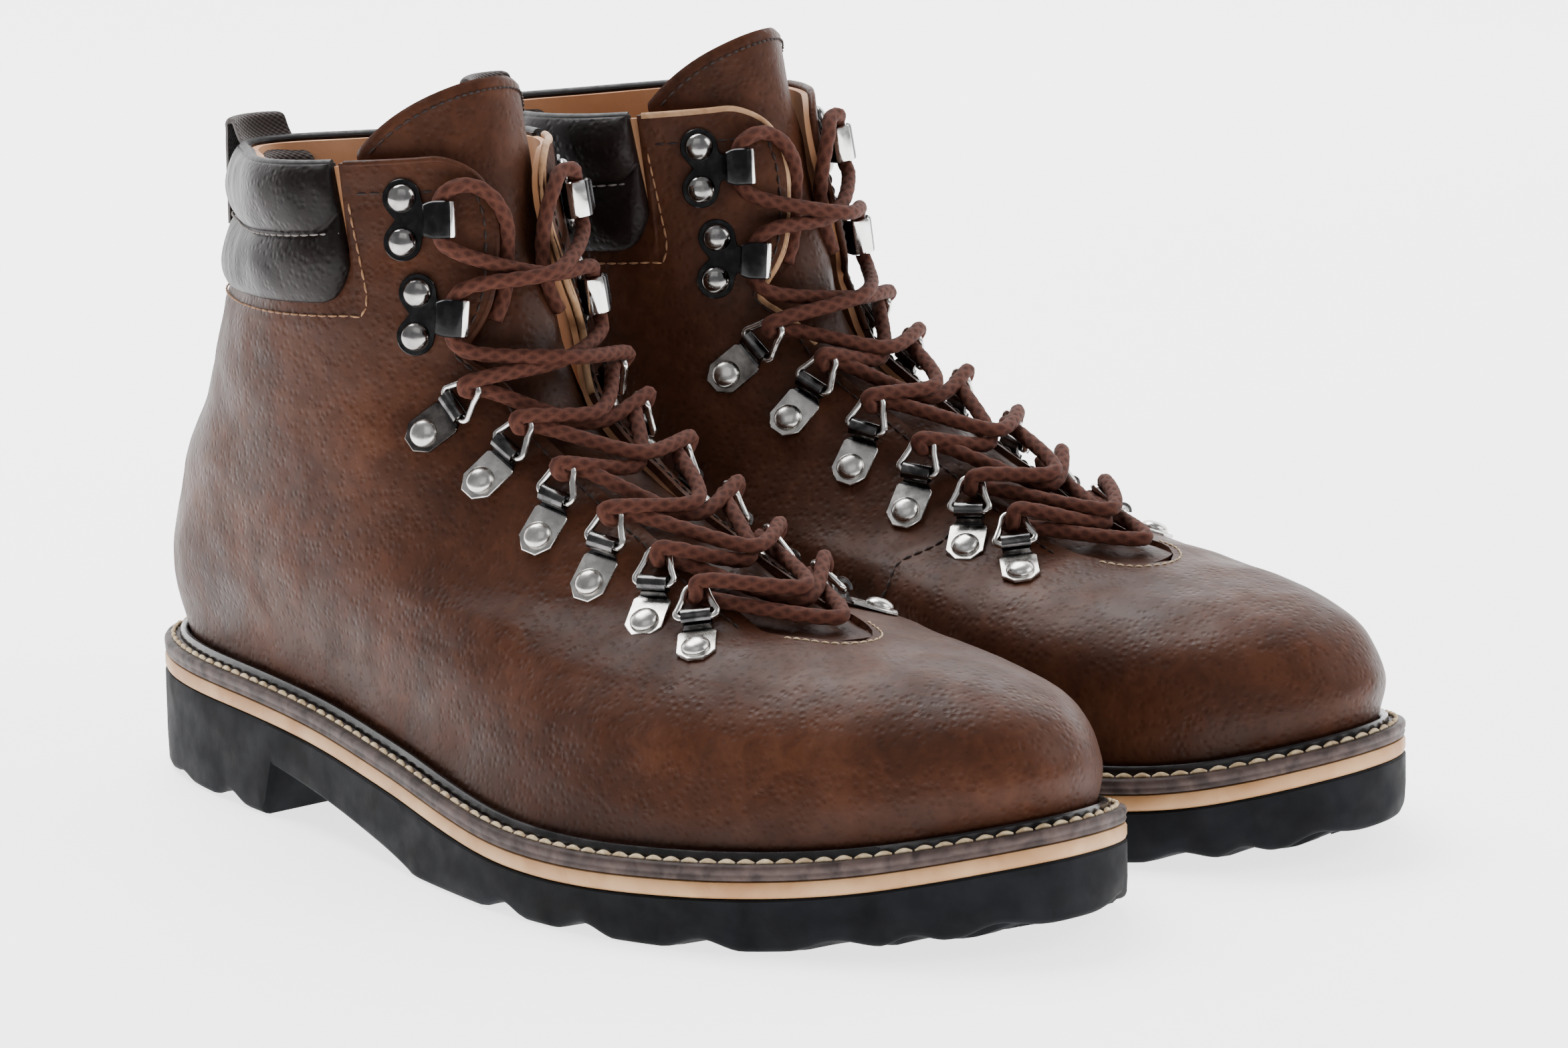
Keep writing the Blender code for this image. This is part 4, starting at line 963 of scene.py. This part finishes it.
def sole_strip(name, side, part, levels, material, slot, node, closed=False, mats=None):
    """Stacked sole outlines, each (inset, height above the midsole's underside)."""
    loops = [(sole_loop(inset), high) for inset, high in levels]
    rings = np.array([np.column_stack([loop, strip_z(loop[:, 1]) + high]) for loop, high in loops])
    rows, cols = rings.shape[:2]
    faces = list(quads(rows, cols, 0, True, closed))
    if not closed:
        faces += cap_faces(0, cols) + cap_faces((rows - 1) * cols, cols)
    index = np.repeat(mats, cols) if mats else np.zeros(len(faces))
    boot_piece(name, side, part, (rings, faces), material, slot, node, sharp=40, mats=index)


def tread(y):
    """Height of the tread's face: heel block, raised arch, flat forefoot and toe spring."""
    breast = np.clip((HEEL_BREAST_Y - y) / HEEL_BREAST_RUN, 0, 1)
    fall = np.clip((y - ARCH_FRONT_Y) / (HEEL_BREAST_Y - HEEL_BREAST_RUN - ARCH_FRONT_Y), 0, 1)
    z = np.where((y < HEEL_BREAST_Y) & (y > ARCH_FRONT_Y), ARCH_HIGH * breast * fall ** .8, 0)
    rise = np.clip((TOE_SPRING_Y - y) / (TOE_SPRING_Y - TOE_Y), 0, 1)
    return z + TOE_SPRING * rise ** 1.7


SCALLOP_DEEP, SCALLOP_WIDE = 2.6, 19.0
SCALLOPS_Y = [-147, -134, -120, -92, -61, -33, 100, 128]
SCALLOP_SHARE = [.8, .7, .8, 1, 1, 1, 1, .5]


def scallop(y):
    """How far the tread's edge rises at y: wide soft valleys between low lugs."""
    z = np.zeros_like(y)
    for middle, share in zip(SCALLOPS_Y, SCALLOP_SHARE):
        wide = SCALLOP_WIDE * (.62 if middle < -125 else 1)
        near = np.clip(1 - np.abs(y - middle) / (wide / 2), 0, 1)
        z = z + share * SCALLOP_DEEP * near * near * (3 - 2 * near)
    return z


def make_outsole(name, side):
    """Lugged outsole: a tall smooth wall, scalloped at the tread, and channels across the bottom."""
    y = sole_loop(0)[:, 1]
    low = tread(y) + scallop(y)
    high = strip_z(y) - .05
    levels = [(2.6, low), (1.5, low + .25), (.7, low + .8), (.3, low + 1.7)]
    for inset, share in ((.1, .3), (.1, .55), (.1, .8), (.1, .96), (.5, 1)):
        levels.append((inset, low + 1.7 + (high - low - 1.7) * share))
    rings = np.array([np.column_stack([sole_loop(inset), z]) for inset, z in levels])
    rows, cols = rings.shape[:2]
    verts = [rings.reshape(-1, 3)]
    faces = list(quads(rows, cols, 0, True))
    half = cols // 2
    across = 44
    lateral = rings[0][:half + 1]
    medial = np.vstack([rings[0][:1], rings[0][:half - 1:-1][:half]])
    t = np.linspace(0, 1, across + 1)
    sheet = lateral[:, None] + (medial - lateral)[:, None] * t[None, :, None]
    u, yy = sheet[..., 0], sheet[..., 1]
    middle = sole_centre((yy - TOE_Y) / (HEEL_Y - TOE_Y))
    rim = np.minimum(t, 1 - t)[None] * (np.linalg.norm(medial - lateral, axis=1)[:, None])
    edge = np.clip(1 - rim / 14, 0, 1)
    arrow = yy + 7 * np.cos((u - middle) / 9)
    bars = np.clip((np.sin(arrow / 13 * 2 * math.pi) - .35) / .35, 0, 1)
    lane = np.clip((2.4 - np.abs(np.abs(u - middle) - 15)) / 1.2, 0, 1)
    worn = ((yy > HEEL_BREAST_Y + 5) | (yy < ARCH_FRONT_Y - 3)) & (rim > 5)
    cut = 3.4 * np.maximum(bars, lane) * worn * np.clip((rim - 5) / 3, 0, 1)
    floor = tread(yy) + scallop(yy) * edge + cut
    inner_z = np.where(rim < .01, sheet[..., 2], floor)
    verts.append(np.stack([u, yy, inner_z], -1).reshape(-1, 3))
    faces += list(quads(half + 1, across + 1, rows * cols))
    faces += cap_faces((rows - 1) * cols, cols)
    shape = np.vstack(verts), faces
    boot_piece(name, side, "lugged_outsole", shape, SOLE, "black_rubber", name + "_outsole", sharp=35)


def make_sole(name, side):
    make_outsole(name, side)
    levels = [(1.0, .05), (.5, .35), (.15, 1.2), (.15, 3.2), (.5, 3.9), (1.0, 4.1)]
    sole_strip(name, side, "midsole_strip", levels, MIDSOLE, "tan_midsole", name + "_midsole")
    top = WELT_TOP - .3
    levels = [(1.1, 4.15), (.45, 4.4), (.2, 5.0), (.35, 5.5), (.35, 5.8), (.1, 6.2), (.1, 7.2), (.5, 7.8),
              (1.1, top), (3.7, top), (4.0, top + .1), (4.15, top + .7), (4.3, top + 1.7),
              (4.8, top + RIM_HIGH), (5.5, top + RIM_HIGH), (6.1, top + 1.8), (6.4, top + 1.0),
              (6.5, top - .3), (12, top - .3), (12, 4.15)]
    mats = [0] * 10 + [1] * 7 + [0] * 3
    sole_strip(name, side, "welt_and_rim", levels, [WELT, RIM], "welt", name + "_welt", True, mats)
    make_welt_stitches(name, side)


WELT_PITCH = 4.6


def make_welt_stitches(name, side):
    """Cream lock stitches along the welt's top, each dipping into its hole."""
    loop = sole_loop(2.35)
    line = np.column_stack([loop, strip_z(loop[:, 1]) + WELT_TOP - .18])
    line = np.vstack([line, line[:1]])
    length = arc_length(line)
    read = np.linspace(0, length[-1], int(length[-1] / WELT_PITCH) + 1)
    p = np.stack([np.interp(read, length, column) for column in line.T], -1)
    pile = Pile()
    stitches(pile, p, np.tile([0, 0, 1.0], (len(p), 1)), .62, .08, .92)
    ride(pile.build(name + "_welt_threads", side, CREAM), name, "welt")


# ---- hardware

def slab_shape(outline, low, high, bevel=.18):
    """Flat plate of an outline with chamfered rims: points in (along, out, high)."""
    o = np.asarray(outline, float)
    c = o.mean(0)
    shrunk = o + unit(c - o) * bevel
    rings = [(shrunk, low), (o, low + bevel * .6), (o, high - bevel), (shrunk, high)]
    pts = np.vstack([np.column_stack([r, np.full(len(o), z)]) for r, z in rings])
    return pts, capped(len(rings), len(o))


def lathe(profile, sides=28):
    """Turned shape from (radius, height) pairs."""
    ang = np.linspace(0, 2 * math.pi, sides, endpoint=False)
    pts = np.vstack([np.stack([r * np.cos(ang), r * np.sin(ang), 0 * ang + z], -1) for r, z in profile])
    return pts, capped(len(profile), sides)


def add_in(pile, f, shape, mat=0, along=0, out=0, high=0):
    pts, faces = shape
    pile.add(at(f, pts[:, 0] + along, pts[:, 1] + out, pts[:, 2] + high), faces, mat)


def rivet(radius, high):
    arc = np.linspace(0, 1, 7)
    profile = [(radius * .96, -.2), (radius, .15)]
    profile += [(radius * math.cos(a * 1.45), .15 + (high - .15) * math.sin(a * 1.571)) for a in arc[1:]]
    return lathe(profile)


def bent_strip(line, half_thick, half_wide, section):
    """Metal strip bent along (out, high) points; section is in half widths and half thicknesses."""
    t = unit(np.gradient(line, axis=0))
    n = np.stack([-t[:, 1], t[:, 0]], -1) * half_thick
    pts = np.stack([np.column_stack([half_wide * across, line + n * thick]) for across, thick in section], 1)
    return pts.reshape(-1, 3), capped(*pts.shape[:2])


LIFT = .35                     # underside of a fitting above the leather


def make_ring_mounts(name, side, lateral):
    which = "lateral" if lateral else "medial"
    pile = Pile()
    for i in range(6):
        f = ring_frame(i, lateral)
        half, end = PLATE_WIDE / 2, RIVET_FROM_TUBE + 4.6
        outline = [(-half, 3.2), (-half + .5, 2.6), (half - .5, 2.6), (half, 3.2), (half, end - 3),
                   (half - 2.7, end), (-half + 2.7, end), (-half, end - 3)]
        # The first ring's plate takes the darker nickel (index 2): painted shade.
        add_in(pile, f, slab_shape(outline, LIFT, LIFT + PLATE_THICK), 2 if i == 0 else 0)
        radius = TUBE_RADIUS - .1
        line = [(2.9, LIFT + .4), (1.7, LIFT + .55)] + [
            (math.sin(a) * radius, TUBE_HIGH - math.cos(a) * radius) for a in np.linspace(.9, -4.6, 24)]
        wide = np.interp(np.arange(len(line)), [0, 2, 5], [half - .6, 2.9, TUBE_LONG / 2])
        square = ((-1, 1), (1, 1), (1, -1), (-1, -1))
        # The bent tube takes the darker metal (index 1): painted shade and dark reflection.
        add_in(pile, f, bent_strip(np.array(line), .38, wide, square), 1)
        add_in(pile, f, rivet(RIVET_RADIUS, RIVET_HIGH + .3), 0, 0, RIVET_FROM_TUBE, LIFT + PLATE_THICK)
    obj = pile.build(f"{name}_{which}_mounts", side, [NICKEL, TUBE_PAINTED_SHADE, PLATE_PAINTED_SHADE], 38)
    ride(obj, name, "nickel_plate", f"{name}_{which}_ring_mounts")


def ring_points():
    half, reach = RING_BASE / 2, RING_REACH
    right = [(half * .5, 0), (half - .8, 0), (half, -1.1), (half - .7, -3), (half - 1.6, -5.2),
             (2.3, -reach + .8), (1.1, -reach)]
    return np.array([(0, 0)] + right + [(-x, y) for x, y in reversed(right)], float)


def make_d_rings(name, side, lateral):
    which = "lateral" if lateral else "medial"
    lift = math.radians(RING_LIFT_DEG)
    flat = resample_flat(ring_points(), .45, True)
    for i in range(6):
        f = ring_frame(i, lateral)
        line = at(f, flat[:, 0], flat[:, 1] * math.cos(lift), TUBE_HIGH - flat[:, 1] * math.sin(lift))
        ring = f"{name}_{which}_d_ring_{i + 1}"
        boot_piece(name, side, f"{which}_wire_{i + 1}", tube(line, RING_WIRE, 14, True), WIRE, "ring_wire",
                   ring, sharp=0, weld=False, body=ring)


LOBE_OUT = 5.2                 # a hook's rivets, from its middle


def make_hooks(name, side, lateral):
    which = "lateral" if lateral else "medial"
    for i in range(2):
        f = hook_frame(i, lateral)
        pile = Pile()
        lobe, mid = 4.6, HOOK_REACH - 1.4
        half = [(3.9, .8), (3.5, 2.2), (3.1, 3.6), (3.4, 4.9), (4.6, 5.4)]
        for a in np.radians(np.linspace(-80, 128, 15)):
            half.append((LOBE_OUT + lobe * math.cos(a), mid + lobe * math.sin(a)))
        outline = half + [(0, mid + 1.7)] + [(-x, y) for x, y in reversed(half)]
        add_in(pile, f, slab_shape(outline, LIFT, LIFT + PLATE_THICK))
        for x in (-LOBE_OUT, LOBE_OUT):
            add_in(pile, f, rivet(3.5, RIVET_HIGH + .5), 2, x, mid, LIFT + PLATE_THICK)
        top = CAD_LIFT + PLATE_THICK + HOOK_GULLET
        centre = (LIFT + PLATE_THICK + top) / 2
        radius = (top - LIFT) / 2
        line = [(1.6, LIFT + .4)]
        for a in np.linspace(.12, math.pi - .1, 14):
            line.append((-math.sin(a) * radius, centre + .2 - math.cos(a) * radius))
        line += [(1.4, top + .35), (2.8, top + .6), (4.0, top + 1.1)]
        line = resample_flat(line, .5)
        q = np.linspace(0, 1, len(line))
        wide = HOOK_WIDE / 2 * (1 - .18 * np.clip((q - .8) / .2, 0, 1) ** 2)
        edge = [(-1, 0), (-.94, .8), (-.8, 1), (.8, 1), (.94, .8)]
        verts, faces = bent_strip(line, .42, wide, edge + [(-x, -y) for x, y in edge])
        # Faces on the outer bend take the chrome (index 1): a painted highlight where light catches the bend.
        painted_highlight = np.repeat(line[:-1, 0] < -radius * .72, 2 * len(edge))
        add_in(pile, f, (verts, faces), [int(b) for b in painted_highlight] + [0, 0])
        obj = pile.build(f"{name}_{which}_speed_hook_{i + 1}", side, [BLACK_METAL, BEND_PAINTED_HIGHLIGHT, STEEL], 38)
        ride(obj, name, "black_metal", f"{name}_{which}_hook_{i + 1}")


# ---- build both boots

for boot in (("right", -1), ("left", 1)):
    for make in (make_lace, make_upper, make_seams, make_flap_folds, make_collar, make_lining,
                 make_binding, make_tongue, make_pull_loop, make_sole):
        make(*boot)
    for is_lateral in (True, False):
        for make in (make_ring_mounts, make_d_rings, make_hooks):
            make(*boot, is_lateral)

for node, obj in frame["nodes"].items():
    for end, look in (("insole_board", BROWN_EDGE), ("footbed", TAN), ("shank", NICKEL)):
        if node.endswith(end):
            for slot in obj.material_slots:
                slot.material = look

# ---- stage and light

def make_stage():
    m = Shade("floor")
    tone = m.ramp(m.noise(900, 2), [(.3, tint("f4f4f4")), (.7, tint("fbfbfb"))])
    floor_look = m.finish(Base_Color=tone, Roughness=.75, Emission_Color=tone, Emission_Strength=2.4)
    ys = [(-3, 0), (1.4, 0)]
    ys += [(1.4 + .9 * math.sin(a), .9 - .9 * math.cos(a)) for a in np.linspace(.1, math.pi / 2, 12)]
    ys += [(2.3, 3.2)]
    turn = math.radians(CAM_AZ)
    rows = []
    for depth, z in ys:
        rows.append([(x * math.cos(turn) - depth * math.sin(turn),
                      x * math.sin(turn) + depth * math.cos(turn), z) for x in (-5, 5)])
    grid = np.array(rows, float)
    obj = mesh_object("floor_sweep", grid, quads(len(rows), 2), floor_look, 0)


LIT_POINT = Vector((0, 0, .08))


def area_light(place, size, power):
    data = bpy.data.lights.new("softbox", "AREA")
    data.shape = "RECTANGLE"
    data.size, data.size_y = size
    data.energy = power
    obj = bpy.data.objects.new("softbox", data)
    obj.location = place
    obj.rotation_euler = (LIT_POINT - Vector(place)).to_track_quat("-Z", "Y").to_euler()
    bpy.context.scene.collection.objects.link(obj)


make_stage()
area_light((-1.3, -.9, 1.5), (1.3, 1.3), 3)
area_light((.9, -1.5, 1.2), (1.2, 1.2), 24)
area_light((.2, .9, 1.9), (1.6, 1.0), 62)
world_look = bpy.data.worlds.new("studio")
world_look.use_nodes = True
backdrop = world_look.node_tree.nodes["Background"].inputs
backdrop["Color"].default_value = (.96, .97, 1, 1)
backdrop["Strength"].default_value = .36
bpy.context.scene.world = world_look
